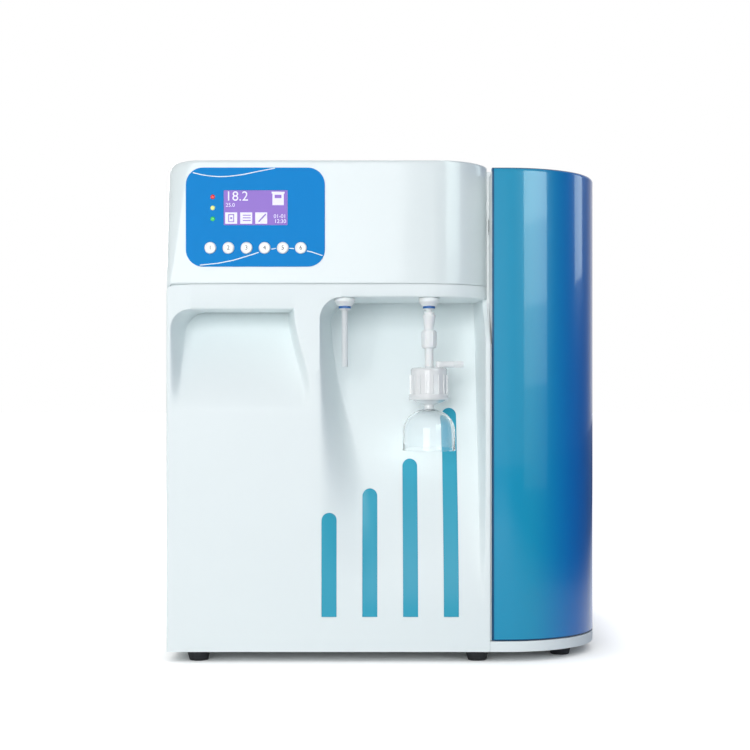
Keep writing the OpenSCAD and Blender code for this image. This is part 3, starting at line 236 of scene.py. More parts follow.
HEAD_WHITE = finish("HeadWhite", rgb(231, 240, 241), 0.3, 0.06, 30, 0.05, coat=0.25, spec=0.3)
# Darker blue for the door's edge faces: painted shade on its rounded edges
DOOR_EDGE_SHADE = finish("DoorEdgePaintedShade", rgb(10, 76, 120), 0.34, 0.04, 24, 0.03, spec=0.3)
PRINT_WHITE = finish("PrintWhite", rgb(240, 252, 250), 0.45, 0.04, 90, 0.0)
PRINT_DARK = finish("PrintDark", rgb(12, 30, 46), 0.45, 0.04, 90, 0.0)
LCD_INK = finish("DisplayInk", rgb(238, 236, 250), 0.4, 0.02, 90, 0.0, spec=0.2, emit=0.15)
LCD_MARK = finish("DisplayMark", rgb(128, 96, 190), 0.3, 0.02, 90, 0.0, emit=0.15)
MEMBRANE = finish("FilterMembrane", rgb(244, 246, 245), 0.8, 0.1, 140, 0.4)
TUBE = finish("FrostedTube", rgb(244, 248, 250), 0.35, 0.05, 60, 0.04, trans=0.15, ior=1.3,
              alpha=0.85)
BELL = finish("BellPlastic", rgb(252, 254, 255), 0.03, 0.0, 50, 0.0, ior=1.33, trans=0.95)
CAPSULE = finish("CapsulePlastic", rgb(252, 254, 255), 0.10, 0.02, 50, 0.02, ior=1.3, coat=0.5)


def grade_door(m):
    """The door's colour runs from teal at the front to a deeper, darker blue round the side:
    painted shade for the side that turns from the light.
    """
    tree = m.node_tree
    place = add_node(tree, "ShaderNodeTexCoord")
    split = add_node(tree, "ShaderNodeSeparateXYZ")
    run = add_node(tree, "ShaderNodeMapRange", {"From Min": 0.140, "From Max": 0.206},
                   interpolation_type="SMOOTHSTEP")
    mix = add_node(tree, "ShaderNodeMix", {"A": rgb(8, 152, 194), "B": rgb(0, 115, 206)},
                   data_type="RGBA")
    wire(tree, (place.outputs["Object"], split.inputs[0]),
         (split.outputs["X"], run.inputs["Value"]), (run.outputs[0], mix.inputs["Factor"]),
         (mix.outputs["Result"], tree.nodes["Principled BSDF"].inputs["Base Color"]))


def rim_alpha(m, low, high, power):
    """Clear in the middle and denser where a wall is seen edge on."""
    tree = m.node_tree
    facing = add_node(tree, "ShaderNodeLayerWeight", {"Blend": 0.5})
    curve = add_node(tree, "ShaderNodeMath", {1: power}, operation="POWER")
    run = add_node(tree, "ShaderNodeMapRange", {"To Min": low, "To Max": high})
    wire(tree, (facing.outputs["Facing"], curve.inputs[0]),
         (curve.outputs[0], run.inputs["Value"]),
         (run.outputs[0], tree.nodes["Principled BSDF"].inputs["Alpha"]))


def clear_shadow(m, kept):
    """Lets a clear wall throw only a part of its shadow."""
    tree = m.node_tree
    ray = add_node(tree, "ShaderNodeLightPath")
    run = add_node(tree, "ShaderNodeMapRange", {"To Min": 1.0, "To Max": kept})
    wire(tree, (ray.outputs["Is Shadow Ray"], run.inputs["Value"]),
         (run.outputs[0], tree.nodes["Principled BSDF"].inputs["Alpha"]))


def paint(obj, m):
    obj.data.materials.clear()
    obj.data.materials.append(m)


# Painted shade: the door's colour darkens to a deeper blue round its side
grade_door(SLOT_FINISH["door_blue"])
rim_alpha(CAPSULE, 0.75, 0.97, 1.6)
clear_shadow(BELL, 0.1)
SLOT_OF_NODE = {s["node"]: s["material_slot"] for s in frame["record"]["subparts"]}
for name, obj in N.items():
    paint(obj, SLOT_FINISH[SLOT_OF_NODE[name]])
    obj.data.shade_smooth()
    obj.data.set_sharp_from_angle(angle=math.radians(32))


# ---------------------------------------------------------------- builders
def piece(name, bm, slot, body="cabinet", stands_for=(), material=None, smooth=35):
    """Makes a bmesh an object that rides a body; smooth is the angle that stays sharp."""
    bmesh.ops.remove_doubles(bm, verts=bm.verts, dist=1e-7)
    bmesh.ops.recalc_face_normals(bm, faces=bm.faces)
    me = bpy.data.meshes.new(name)
    bm.to_mesh(me)
    bm.free()
    o = bpy.data.objects.new(name, me)
    bpy.context.scene.collection.objects.link(o)
    paint(o, material or SLOT_FINISH[slot])
    if smooth:
        me.shade_smooth()
        me.set_sharp_from_angle(angle=math.radians(smooth))
    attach(o, body)
    if stands_for:
        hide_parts(*stands_for)
    return o


def bevel(o, width, segments=3):
    """Softens a piece's edges by a width in mm."""
    m = o.modifiers.new("Edge", "BEVEL")
    m.width, m.segments = width * MM, segments
    m.limit_method, m.angle_limit = "ANGLE", math.radians(40)
    m.use_clamp_overlap = True
    m.harden_normals = True
    return o


def open_edges(bm):
    return [e for e in bm.edges if e.is_boundary]


def verts_of(geom):
    return [v for v in geom if isinstance(v, bmesh.types.BMVert)]


def strip(bm, rings, closed=False):
    """A grid laid through rings of points in mm, all of one length; closed makes it a solid."""
    if closed:
        rings = [list(r) + [r[0]] for r in rings]
    n, m = len(rings[0]), len(rings)
    v = bmesh.ops.create_grid(bm, x_segments=n - 1, y_segments=m - 1, size=1.0)["verts"]
    for k, p in enumerate(p for r in rings for p in r):
        v[k].co = Vector(p) * MM
    if closed:
        bmesh.ops.remove_doubles(bm, verts=v, dist=1e-7)
        bmesh.ops.holes_fill(bm, edges=open_edges(bm), sides=0)


def lathe(bm, prof, x, y, z=0.0, seg=64, axis="z"):
    """Spins a closed profile of (radius, height) in mm about an axis through a point."""
    turn = {"z": lambda r, h: (x + r, y, z + h), "y": lambda r, h: (x + r, y + h, z),
            "x": lambda r, h: (x + h, y + r, z)}[axis]
    v = [bm.verts.new(Vector(turn(r if r > 0.02 else 0.0, h)) * MM) for r, h in prof]
    e = [bm.edges.new((a, b)) for a, b in zip(v, v[1:] + v[:1])
         if (a.co - b.co).length > 1e-9]
    line = {"z": (0, 0, 1), "y": (0, 1, 0), "x": (1, 0, 0)}[axis]
    bmesh.ops.spin(bm, geom=v + e, cent=Vector((x, y, z)) * MM, axis=line, dvec=(0, 0, 0),
                   angle=2 * math.pi, steps=seg, use_merge=True, use_duplicate=False)
    bmesh.ops.remove_doubles(bm, verts=bm.verts, dist=1e-7)
    on_axis = [q for q in bm.edges if not q.link_faces]
    bmesh.ops.delete(bm, geom=on_axis, context="EDGES")


def turned(name, prof, x, y, slot, z=0.0, seg=64, axis="z", **kw):
    """A piece of its own, spun from a profile."""
    bm = bmesh.new()
    lathe(bm, prof, x, y, z, seg, axis)
    bmesh.ops.dissolve_degenerate(bm, dist=1e-7, edges=bm.edges)
    return piece(name, bm, slot, **kw)


def add_to(bm, other):
    """Puts one bmesh into another."""
    me = bpy.data.meshes.new("part")
    other.to_mesh(me)
    other.free()
    bm.from_mesh(me)
    bpy.data.meshes.remove(me)


def cut_away(o, cut):
    """Takes a bmesh away from a piece, and applies that and the piece's other modifiers."""
    bmesh.ops.recalc_face_normals(cut, faces=cut.faces)
    me = bpy.data.meshes.new("cutter")
    cut.to_mesh(me)
    cut.free()
    cutter = bpy.data.objects.new("cutter", me)
    bpy.context.scene.collection.objects.link(cutter)
    m = o.modifiers.new("Cut", "BOOLEAN")
    m.object, m.operation, m.solver = cutter, "DIFFERENCE", "EXACT"
    deps = bpy.context.evaluated_depsgraph_get()
    new = bpy.data.meshes.new_from_object(o.evaluated_get(deps))
    o.modifiers.clear()
    o.data = new
    bpy.data.objects.remove(cutter)


def polar(r, degrees):
    a = math.radians(degrees)
    return r * math.cos(a), r * math.sin(a)


def fillet(cx, cy, r, a0, a1, n=5):
    """Points on a round between two angles in degrees."""
    turns = [polar(r, a0 + (a1 - a0) * k / n) for k in range(n + 1)]
    return [(cx + dx, cy + dy) for dx, dy in turns]


def hexagon(r):
    return [polar(r, 60 * k) for k in range(6)]


def round_rect(cx, cz, w, h, r, n=8):
    pts = []
    for sx, sz, a in ((1, 1, 0), (-1, 1, 90), (-1, -1, 180), (1, -1, 270)):
        pts += fillet(cx + sx * (w / 2 - r), cz + sz * (h / 2 - r), r, a, a + 90, n)
    return pts


def prism_y(bm, outline, y0, y1):
    """Plate extruded from an outline in (x, z), between two planes in y."""
    f = bm.faces.new([bm.verts.new(Vector((x, y0, z)) * MM) for x, z in outline])
    out = bmesh.ops.extrude_face_region(bm, geom=[f], use_keep_orig=True)["geom"]
    bmesh.ops.translate(bm, verts=verts_of(out), vec=(0, (y1 - y0) * MM, 0))


def box(bm, a, b):
    """Block between two corners."""
    x0, y0, z0 = a
    x1, y1, z1 = b
    prism_y(bm, [(x0, z0), (x1, z0), (x1, z1), (x0, z1)], y0, y1)


def ease(t):
    t = max(0.0, min(1.0, t))
    return t * t * (3 - 2 * t)


def mix(a, b, t):
    return a + (b - a) * t


# ---------------------------------------------------------------- scooped front
# Rows of faces up the front, closer together near the ceilings
ROWS = 110
# Columns of faces across the front: (gap between two edges of scoop_edges, place in it)
COLUMNS = [(gap, k / n) for gap, n, first, last in (
    (0, 14, 0, 14), (1, 14, 1, 13), (2, 14, 0, 14), (3, 2, 1, 1), (4, 16, 0, 16),
    (5, 22, 1, 21), (6, 8, 0, 8), (7, 1, 1, 1)) for k in range(first, last + 1)]


def toe(t):
    """How deep a scoop is between its toe, 0, and its ceiling, 1: it starts flat."""
    t = max(0.0, min(1.0, t))
    return 1.3 * t * t / (t + 0.3)


def corner(z, top, r):
    """How far a round of radius r comes in at a height below its top."""
    return r - math.sqrt(max(0.0, r * r - (z - top + r) ** 2)) if z > top - r else 0.0


def head_round(u):
    """How far the head's round right corner stands back from the front, u from the left."""
    k = u - (FRONT_W - HEAD_R + 2)
    return HEAD_R - math.sqrt(HEAD_R ** 2 - min(k, HEAD_R) ** 2) if k > 0 else 0.0


def scoop_edges(z, o):
    """Edges of the two scoops at a height, from the left: the left one's outer side a to b and
    inner side c to d, then the bay's left side e to f and right side g to h. The skin's inner
    face lies o behind its outer one."""
    a = RIM - o + corner(z, SCOOP_TOP, 20)
    d = 146.5 + o - 18 * ease((z - 262) / (SCOOP_TOP - 262))
    e = 149.5 + 2 * WALL - o + corner(z, BAY_TOP, 22)
    f = e + mix(64, 9, ease((z - 90) / 260))
    h = FRONT_W - RIM + o
    return a, a + 10, d - 10, d, e, f, h - 6, h


def depth_at(u, z, o=0.0):
    """How far the front lies behind its flat plane, at u from the left and height z."""
    a, b, c, d, e, f, g, h = scoop_edges(z, o)
    scoop = SCOOP_DEPTH * toe((z - SCOOP_TOE) / (SCOOP_TOP - SCOOP_TOE))
    bay = BAY_DEPTH * toe((z - BAY_TOE) / (BAY_TOP - BAY_TOE))
    cheek = head_round(FRONT_W) * ease((z - 318) / (BAY_TOP - 318))
    if u <= a or d <= u <= e:
        return o
    if u < b:
        return o + scoop * ease((u - a) / (b - a))
    if u <= c:
        return o + scoop
    if u < d:
        return o + scoop * (1 - ease((u - c) / (d - c)))
    if u < f:
        return o + bay * ease((u - e) / (f - e))
    if u <= g:
        return o + bay
    if u < h:
        return o + mix(bay, cheek, ease((u - g) / (h - g)))
    return o + cheek


def across(gap, t, z, o):
    stops = (*scoop_edges(z, o), FRONT_W)
    return mix(stops[gap], stops[gap + 1], t)


def row_heights(top):
    return [FASCIA_Z0 + (top - FASCIA_Z0) * (1 - (1 - j / ROWS) ** 1.6)
            for j in range(ROWS + 1)]


def top_lip(u, y, o):
    """Top edge of the fascia, and the lip that stands behind the head's lower edge."""
    x, x_lip = LEFT + u, max(LEFT + u, LEFT + 3.2)
    z = SEAM - SEAM_GAP - corner(TURN_W - u, TURN_W, TURN_R)
    thin = 0.9 if o else 0.0
    y_lip = y + 2.9 - thin
    return [(x, y, z), (x_lip, y_lip, z), (x_lip, y_lip, SEAM + 5 - thin)]


def fascia_rings(o):
    """Lines up the front from the left edge to the right one, each with the same count of
    points: the rows, four for the ceiling's rolled edge and three for the lip."""
    if o:
        rolled = [(0, 0)] * 4
        side = [(1.6, 12), (1.7, 7), (1.8, 5), (1.85, 4), (1.9, 3), (1.95, 2.4)]
    else:
        rolled = [(0, 2.0), (0.35, 0.9), (0.9, 0.35), (2.0, 0)]
        side = [(0.0, 12.0), (0.0, 3.0), (0.23, 1.85), (0.9, 0.9), (1.85, 0.23), (3.0, 0.0)]
    rings = []
    for u, back in side:
        top = SCOOP_TOP + o
        zs = row_heights(top) + [top] * len(rolled)
        rings.append([(LEFT + u, FRONT + back, z) for z in zs] + top_lip(u, FRONT + back, o))
    for gap, t in COLUMNS:
        # The ceiling steps up from the left scoop to the bay over the rib between them
        u = across(gap, t, SCOOP_TOP, 0)
        top = o + mix(SCOOP_TOP, BAY_TOP, ease((u - 126) / 26))
        ring = []
        for z in row_heights(top):
            u = across(gap, t, z, o)
            ring.append((LEFT + u, FRONT + depth_at(u, z, o), z))
        u = across(gap, t, top, o)
        flat = o + head_round(u)
        ceiling = depth_at(u, top, o)
        for dz, dy in rolled:
            dy = min(dy, max(0.0, ceiling - flat))
            dz = dz if ceiling > flat + 0.5 else 0
            ring.append((LEFT + u, FRONT + flat + dy, top + dz))
        rings.append(ring + top_lip(u, FRONT + flat, o))
    return rings


def add_stripe(bm, k, margin, o0, o1):
    """Stripe k as a solid between two depths behind the front, wider by a margin."""
    x0 = STRIPE_X0 + STRIPE_PITCH * k
    r = STRIPE_R + margin
    z0 = STRIPE_Z0 - margin
    stripe = bmesh.new()
    for o in (o0, o1):
        rings = []
        for i in range(17):
            dx = -r * math.cos(math.pi * i / 16)
            z1 = STRIPE_TOPS[k] - STRIPE_R + math.sqrt(max(0.0, r * r - dx * dx))
            zs = [mix(z0, z1, t / 70) for t in range(71)]
            rings.append([(x0 + dx, FRONT + depth_at(x0 + dx - LEFT, z) + o, z) for z in zs])
        strip(stripe, rings)
    bmesh.ops.bridge_loops(stripe, edges=open_edges(stripe))
    add_to(bm, stripe)


def make_fascia():
    bm = bmesh.new()
    strip(bm, fascia_rings(0))
    strip(bm, fascia_rings(WALL))
    bmesh.ops.bridge_loops(bm, edges=open_edges(bm))
    o = piece("fascia_skin", bm, "white_shell", stands_for=["front_fascia"], smooth=38)
    # Grooves for the stripes, and the two holes and their recesses for the outlets
    cut = bmesh.new()
    for k in range(len(STRIPE_TOPS)):
        add_stripe(cut, k, 0.15, -4.0, 1.1)
    for x in (NOZ_X, OUT_X):
        lathe(cut, [(0.01, BAY_TOP - 4.7), (10.7, BAY_TOP - 4.7), (10.7, BAY_TOP + 1),
                    (8.2, BAY_TOP + 1), (8.2, BAY_TOP + 6), (0.01, BAY_TOP + 6)],
              x, OUT_Y, seg=48)
    cut_away(o, cut)
    o.data.shade_smooth()
    o.data.set_sharp_from_angle(angle=math.radians(38))


def make_stripes():
    bm = bmesh.new()
    for k in range(len(STRIPE_TOPS)):
        add_stripe(bm, k, 0.0, 0.35, 1.15)
    piece("stripe_inlay_skin", bm, "stripe_teal", stands_for=["stripe_inlays"], smooth=38)


make_fascia()
make_stripes()


# ---------------------------------------------------------------- head
# The centre of the head's round corner, its height over the seam and its soft upper edge
HEAD_ROUND_X, HEAD_H, HEAD_EDGE = FASCIA_X1 - 58, TOP - SEAM, 2.5


def head_plan(r, inset):
    """The head seen from above, open at the back: left corner r, left side in by an inset."""
    x0 = LEFT + inset
    pts = [(x0, FRONT + HEAD_D), (x0, FRONT + 100), (x0, FRONT + r + 6)]
    pts += fillet(x0 + r, FRONT + r, r, 180, 270, 14)
    pts += [(mix(x0 + r, HEAD_ROUND_X, t), FRONT) for t in (0.1, 0.25, 0.5, 0.75, 0.95)]
    pts += fillet(HEAD_ROUND_X, FRONT + HEAD_R, HEAD_R, 270, 345.16, 24)
    pts += [(FASCIA_X1, FRONT + y) for y in (HEAD_R - 14, 90, HEAD_D)]
    return [(min(x, FASCIA_X1), y) for x, y in pts]


def head_ring(h):
    """The head's outline at a height over the seam, with its soft upper and lower edges."""
    z = SEAM + SEAM_GAP + h
    top_edge = HEAD_H - HEAD_EDGE - 0.2
    edge = 0.0
    if h > top_edge:
        q = (h - top_edge) / HEAD_EDGE
        edge = HEAD_EDGE * (1 - math.sqrt(max(0.0, 1 - q * q)))
    if h < 1.0:
        edge = 0.5 * (1 - h)
    cx, cy = -60.0, FRONT + 75.0
    ring = []
    for x, y in head_plan(mix(5, 26, min(1.0, h / HEAD_H)), corner(z, TOP, 12)):
        side = (edge if x < cx else -edge) * min(1, abs(x - cx) / 60)
        ring.append((x + side, max(y, FRONT + edge) if y < cy else y, z))
    return ring


def turned_down(ring):
    """The lowest ring, with its left end over the fascia's corner."""
    return [(x, y, z - corner(TURN_W - (x - LEFT), TURN_W, TURN_R)) for x, y, z in ring]


def make_head():
    heights = [0, 0.6, 1.4] + [2 + 118 * t / 24 for t in range(25)]
    heights += [121, 122, 122.8, 123.4, 123.8]
    rings = [head_ring(h) for h in heights]
    rings[0] = turned_down(rings[0])
    bm = bmesh.new()
    strip(bm, rings)
    top = max(v.co.z for v in bm.verts) - 1e-6
    lid = [e for e in open_edges(bm) if all(v.co.z > top for v in e.verts)]
    bmesh.ops.contextual_create(bm, geom=lid)
    o = piece("head_skin", bm, "white_shell", stands_for=["head_cover"], material=HEAD_WHITE,
              smooth=30)
    wall = o.modifiers.new("Wall", "SOLIDIFY")
    wall.thickness, wall.offset = 2.2 * MM, -1.0


make_head()


# ---------------------------------------------------------------- door
def door_path():
    """The door's outer face from above, (x, y, turn): front edge, round corner, rear edge."""
    flat = [DOOR_X + d for d in (0.0, 0.5, 0.9, 1.9, 6.7)] + [RIGHT - DOOR_R]
    path = [(x, FRONT, 0.0) for x in flat]
    for k in range(1, 41):
        a = math.radians(90 * k / 40)
        path.append((RIGHT - DOOR_R + DOOR_R * math.sin(a),
                     FRONT + DOOR_R - DOOR_R * math.cos(a), a))
    hinge_y = HINGE[1]
    path += [(RIGHT, y, math.pi / 2)
             for y in (FRONT + 160, FRONT + 300, hinge_y - 20, hinge_y + 4.8, hinge_y + 6.2)]
    return path


def door_profile():
    """The door's section, (depth behind its outer face, z): flanges in, and soft edges."""
    flange, round_top, round_low = 12, 4, 1.5
    prof = [(flange, DOOR_Z0), (flange, DOOR_Z0 + DOOR_WALL), (DOOR_WALL, DOOR_Z0 + DOOR_WALL),
            (DOOR_WALL, DOOR_Z1 - DOOR_WALL), (flange, DOOR_Z1 - DOOR_WALL), (flange, DOOR_Z1)]
    prof += fillet(round_top, DOOR_Z1 - round_top, round_top, 90, 180, 6)
    prof += [(0, DOOR_Z0 + 60), (0, DOOR_Z0 + round_low)]
    prof += fillet(round_low, DOOR_Z0 + round_low, round_low, 210, 270, 2)
    return prof


def behind(x, y, a, depth):
    """A point behind the door's outer face."""
    return x - math.sin(a) * depth, y + math.cos(a) * depth


def make_door():
    path, prof = door_path(), door_profile()
    ends = (0, len(path) - 1)
    bm = bmesh.new()
    rings = []
    for i, (x, y, a) in enumerate(path):
        least = 0.6 if i in ends else 0.0
        rings.append([(*behind(x, y, a, max(depth, least)), z) for depth, z in prof])
    strip(bm, rings, closed=True)
    o = piece("door_skin", bm, "door_blue", body="door", stands_for=["side_door"])
    # Painted shade: the narrow faces at the door's top, bottom and front edge get a darker blue
    o.data.materials.append(DOOR_EDGE_SHADE)
    for f in o.data.polygons:
        x, y, z = (c / MM for c in f.center)
        if (z > DOOR_Z1 - 1.2 or z < DOOR_Z0 + 1.4
                or (x < DOOR_X + 1.8 and y < FRONT + DOOR_WALL)):
            f.material_index = 1
    bm = bmesh.new()
    box(bm, (DOOR_X, FRONT + 2.9, DOOR_Z0 + 0.2), (DOOR_X + 3, FRONT + 44.5, DOOR_Z1 - 3.1))
    bevel(piece("door_return", bm, "white_sheet", body="door", smooth=30), 0.4, 2)
    # Ribs along the inside, and the sleeve round the lower hinge pin
    bm = bmesh.new()
    for z in (DOOR_Z0 + 120, DOOR_Z0 + 240, DOOR_Z0 + 360):
        loop = [behind(*p, 2.9) for p in path[4:-3]] + [behind(*p, 7) for p in path[-4:3:-1]]
        strip(bm, [[(x, y, h) for x, y in loop] for h in (z, z + 2.5)], closed=True)
    lathe(bm, [(2.5, 2.9), (4.4, 2.9), (4.4, 12.9), (2.5, 12.9)], *HINGE, DOOR_Z0, seg=32)
    bevel(piece("door_ribs", bm, "door_blue", body="door", smooth=30), 0.4, 2)


def make_seal():
    """Lip of the cabinet that closes the slit behind the door's front edge."""
    bm = bmesh.new()
    box(bm, (FASCIA_X1 - 1.6, FRONT + 44.9, DOOR_Z0 + 1),
        (FASCIA_X1 + 4.6, FRONT + 46.4, DOOR_Z1 + 2))
    bevel(piece("door_seal", bm, "white_sheet", smooth=30), 0.3, 2)


make_door()
make_seal()


# ---------------------------------------------------------------- control panel
def make_overlay():
    """The panel's plate, with openings for the keys, the lamps and the display."""
    bm = bmesh.new()
    prism_y(bm, round_rect(PANEL_X, PANEL_Z, PANEL_W, PANEL_H, 17, 12), PANEL_Y, FRONT - 0.05)
    o = piece("panel_overlay", bm, "panel_blue", stands_for=["control_panel"], smooth=30)
    bevel(o, 0.35, 3)
    cut = bmesh.new()
    holes = [(x, KEY_Z, 6.05, 48) for x in KEY_XS] + [(LAMP_X, z, 2.4, 32) for z in LAMP_ZS]
    for x, z, r, seg in holes:
        lathe(cut, [(0.01, -3), (r, -3), (r, 4), (0.01, 4)], x, PANEL_Y, z, seg=seg, axis="y")
    prism_y(cut, round_rect(LCD_X, LCD_Z, LCD_W, LCD_H, 0.6, 3), PANEL_Y - 3, FRONT + 3)
    cut_away(o, cut)


def make_keys():
    """Each key is a ringed cap on a short plunger."""
    prof = [(0.01, 1.3), (0.01, 0.25), (2.4, 0.12), (4.0, 0.02), (4.35, 0.3), (4.6, 0.02)]
    prof += fillet(4.9, 0.8, 0.8, 270, 360, 4)
    prof += [(KEY_R, 1.45), (4.2, 1.5), (4.2, 2.6), (3.0, 2.6), (3.0, 1.3)]
    for k, x in enumerate(KEY_XS, 1):
        turned("key_cap_%d" % k, prof, x, PANEL_Y - 1.35, "key_white", z=KEY_Z, seg=48,
               axis="y", body="key%d" % k, stands_for=["key_%d" % k])


def make_lamps():
    prof = [(0.01, 1.1), (0.01, -1.25), (0.9, -1.1), (1.7, -0.6), (2.2, 0.0), (2.3, 0.4),
            (2.3, 1.1)]
    for lamp, z in zip(LAMPS, LAMP_ZS):
        turned(lamp + "_lens", prof, LAMP_X, PANEL_Y, lamp, z=z, seg=32, axis="y",
               stands_for=[lamp])


def make_display():
    bm = bmesh.new()
    pane = round_rect(LCD_X, LCD_Z, LCD_W - 0.4, LCD_H - 0.4, 0.5, 3)
    prism_y(bm, pane, PANEL_Y + 0.25, FRONT - 0.06)
    piece("display_pane", bm, "display_violet", stands_for=["display_window"], smooth=30)


make_overlay()
make_keys()
make_lamps()
make_display()


# ---------------------------------------------------------------- print
def curve_through(pts, sub):
    """Points of a smooth curve through (x, z) points, sub of them in each gap."""
    dense, last = [], len(pts) - 1
    for i in range(last):
        p0, p1, p2, p3 = pts[max(0, i - 1)], pts[i], pts[i + 1], pts[min(last, i + 2)]
        for t in (k / sub for k in range(sub)):
            dense.append(tuple(0.5 * (2 * p1[c] + (p2[c] - p0[c]) * t
                                      + (2 * p0[c] - 5 * p1[c] + 4 * p2[c] - p3[c]) * t * t
                                      + (3 * p1[c] - p0[c] - 3 * p2[c] + p3[c]) * t ** 3)
                               for c in (0, 1)))
    return dense + [pts[-1]]


def ribbon(bm, pts, w, y0, y1, sub=24):
    """A printed line of width w through points in (x, z)."""
    dense = curve_through(pts, sub)
    rings = []
    for i, (x, z) in enumerate(dense):
        a, b = dense[max(0, i - 1)], dense[min(len(dense) - 1, i + 1)]
        dx, dz = b[0] - a[0], b[1] - a[1]
        length = math.hypot(dx, dz) or 1.0
        nx, nz = -dz / length * w / 2, dx / length * w / 2
        rings.append([(x + nx, y0, z + nz), (x - nx, y0, z - nz), (x - nx, y1, z - nz),
                      (x + nx, y1, z + nz)])
    strip(bm, rings, closed=True)


def text_mesh(bm, body, size, x, z, y, align="CENTER", thick=0.12):
    """Printed characters that face the front, their back in the plane y."""
    cu = bpy.data.curves.new("label", "FONT")
    cu.body, cu.size, cu.align_x, cu.align_y = body, size, align, "CENTER"
    ob = bpy.data.objects.new("label", cu)
    bpy.context.scene.collection.objects.link(ob)
    deps = bpy.context.evaluated_depsgraph_get()
    deps.update()
    part = bmesh.new()
    part.from_mesh(ob.evaluated_get(deps).to_mesh())
    bmesh.ops.rotate(part, verts=part.verts, matrix=Matrix.Rotation(math.pi / 2, 3, "X"))
    bmesh.ops.remove_doubles(part, verts=part.verts, dist=1e-5)
    geom = bmesh.ops.extrude_face_region(part, geom=part.faces[:], use_keep_orig=True)["geom"]
    bmesh.ops.translate(part, verts=verts_of(geom), vec=(0, -thick, 0))
    bmesh.ops.translate(part, verts=part.verts, vec=(x, y, z))
    bmesh.ops.scale(part, verts=part.verts, vec=(MM, MM, MM))
    add_to(bm, part)
    bpy.data.objects.remove(ob)


def between_keys(pts, clear=6.3):
    """Splits a line at the keys, so that it stays on the overlay."""
    parts, run = [], []
    for i in range(len(pts) - 1):
        for k in range(12):
            x = mix(pts[i][0], pts[i + 1][0], k / 12)
            z = mix(pts[i][1], pts[i + 1][1], k / 12)
            if min(math.hypot(x - c, z - KEY_Z) for c in KEY_XS) > clear:
                run.append((x, z))
            elif run:
                parts.append(run)
                run = []
    parts.append(run)
    return [r for r in parts if len(r) > 2]


def print_panel():
    """The two curved lines on the overlay."""
    width, front = 0.9, (PANEL_Y - 0.08, PANEL_Y + 0.02)
    upper = [(-193, 489.2), (-180, 486.4), (-164, 485.2), (-145, 487.0), (-128, 490.4),
             (-111, 493.6)]
    lower = [(-186, 396.8), (-168, 398.6), (-152, 401.8), (-136, 406.6), (-121, 411.6),
             (-110, 413.6), (-100, 414.0), (-86, 412.6), (-74, 409.8), (-62.6, 406.0)]
    bm = bmesh.new()
    ribbon(bm, upper, width, *front)
    for run in between_keys(lower):
        ribbon(bm, run, width, *front, sub=2)
    piece("panel_lines", bm, "panel_blue", material=PRINT_WHITE, smooth=0)


def print_keys():
    for k, x in enumerate(KEY_XS, 1):
        bm = bmesh.new()
        text_mesh(bm, str(k), 6.0, x, KEY_Z, PANEL_Y - 1.2)
        piece("key_number_%d" % k, bm, "key_white", body="key%d" % k, material=PRINT_DARK,
              smooth=0)


def print_display():
    """Two readings at the top left, a tank at the right, three icons and two lines below."""
    left, top, right = LCD_X - 32, LCD_Z + 17.5, LCD_X + 30.5
    y, ink = PANEL_Y + 0.24, 0.12
    small = 5.4
    bm = bmesh.new()
    text_mesh(bm, "18.2", 13.5, left + 1.6, top - 6.4, y, align="LEFT")
    text_mesh(bm, "25.0", small, left + 2, top - 15, y, align="LEFT")
    text_mesh(bm, "12:30", small, right, top - 31.2, y, align="RIGHT")
    text_mesh(bm, "01-01", small, right, top - 26.2, y, align="RIGHT")
    icons, tank = left + 1.6, left + 48
    blocks = [(icons + 15 * k, icons + 15 * k + 12, 33.6, 22.2) for k in range(3)]
    blocks += [(tank + a, tank + b, c, d) for a, b, c, d in (
        (0, 13, 3.4, 1.6), (0.8, 3.0, 15.0, 3.4), (9.8, 12.2, 15.0, 3.4),
        (3.0, 9.8, 15.0, 8.0), (3.0, 9.8, 4.6, 3.4))]
    for x0, x1, low, high in blocks:
        box(bm, (x0, y - ink, top - low), (x1, y, top - high))
    piece("display_content", bm, "display_violet", material=LCD_INK, smooth=0)
    # Marks on the icons: a frame with a dot, three lines and a slope
    marks = [(3, 9, 25, 24), (3, 9, 32, 31), (3, 4, 31, 25), (8, 9, 31, 25), (5, 7, 29, 27)]
    marks += [(17.6, 25.6, low, low - 1) for low in (25.6, 28.2, 30.8)]
    marks += [(33.2 + 0.8 * k, 34.5 + 0.8 * k, 31.8 - 0.85 * k, 30.4 - 0.85 * k)
              for k in range(9)]
    y -= 0.13
    bm = bmesh.new()
    for a, b, low, high in marks:
        box(bm, (icons + a, y, top - low), (icons + b, y + 0.1, top - high))
    piece("display_marks", bm, "display_violet", material=LCD_MARK, smooth=0)


print_panel()
print_keys()
print_display()


# ---------------------------------------------------------------- outlets
def make_outlet(side, x, first):
    """A bushing in the bay's ceiling, and its collet."""
    prof = [(5.0, 0), (7.0, 0)] + fillet(9.6, 4.9, 0.9, 300, 360, 4)
    prof += [(10.5, 7.9), (10.2, 8.4), (8.0, 8.4), (8.0, 16.9), (5.0, 16.9)]
    turned("bushing_" + side, prof, x, OUT_Y, "nylon_white", z=span("outlet_bushings", "z")[0],
           seg=72, stands_for=["outlet_bushings"] if first else ())
    prof = [(3.24, 0), (5.2, 0), (5.6, 0.4), (5.6, 1.2), (5.3, 1.5), (4.75, 1.6), (4.75, 18.3),
            (3.24, 18.3)]
    turned("collet_" + side, prof, x, OUT_Y, "nylon_white", z=span("outlet_collets", "z")[0],
           seg=56, stands_for=["outlet_collets"] if first else ())


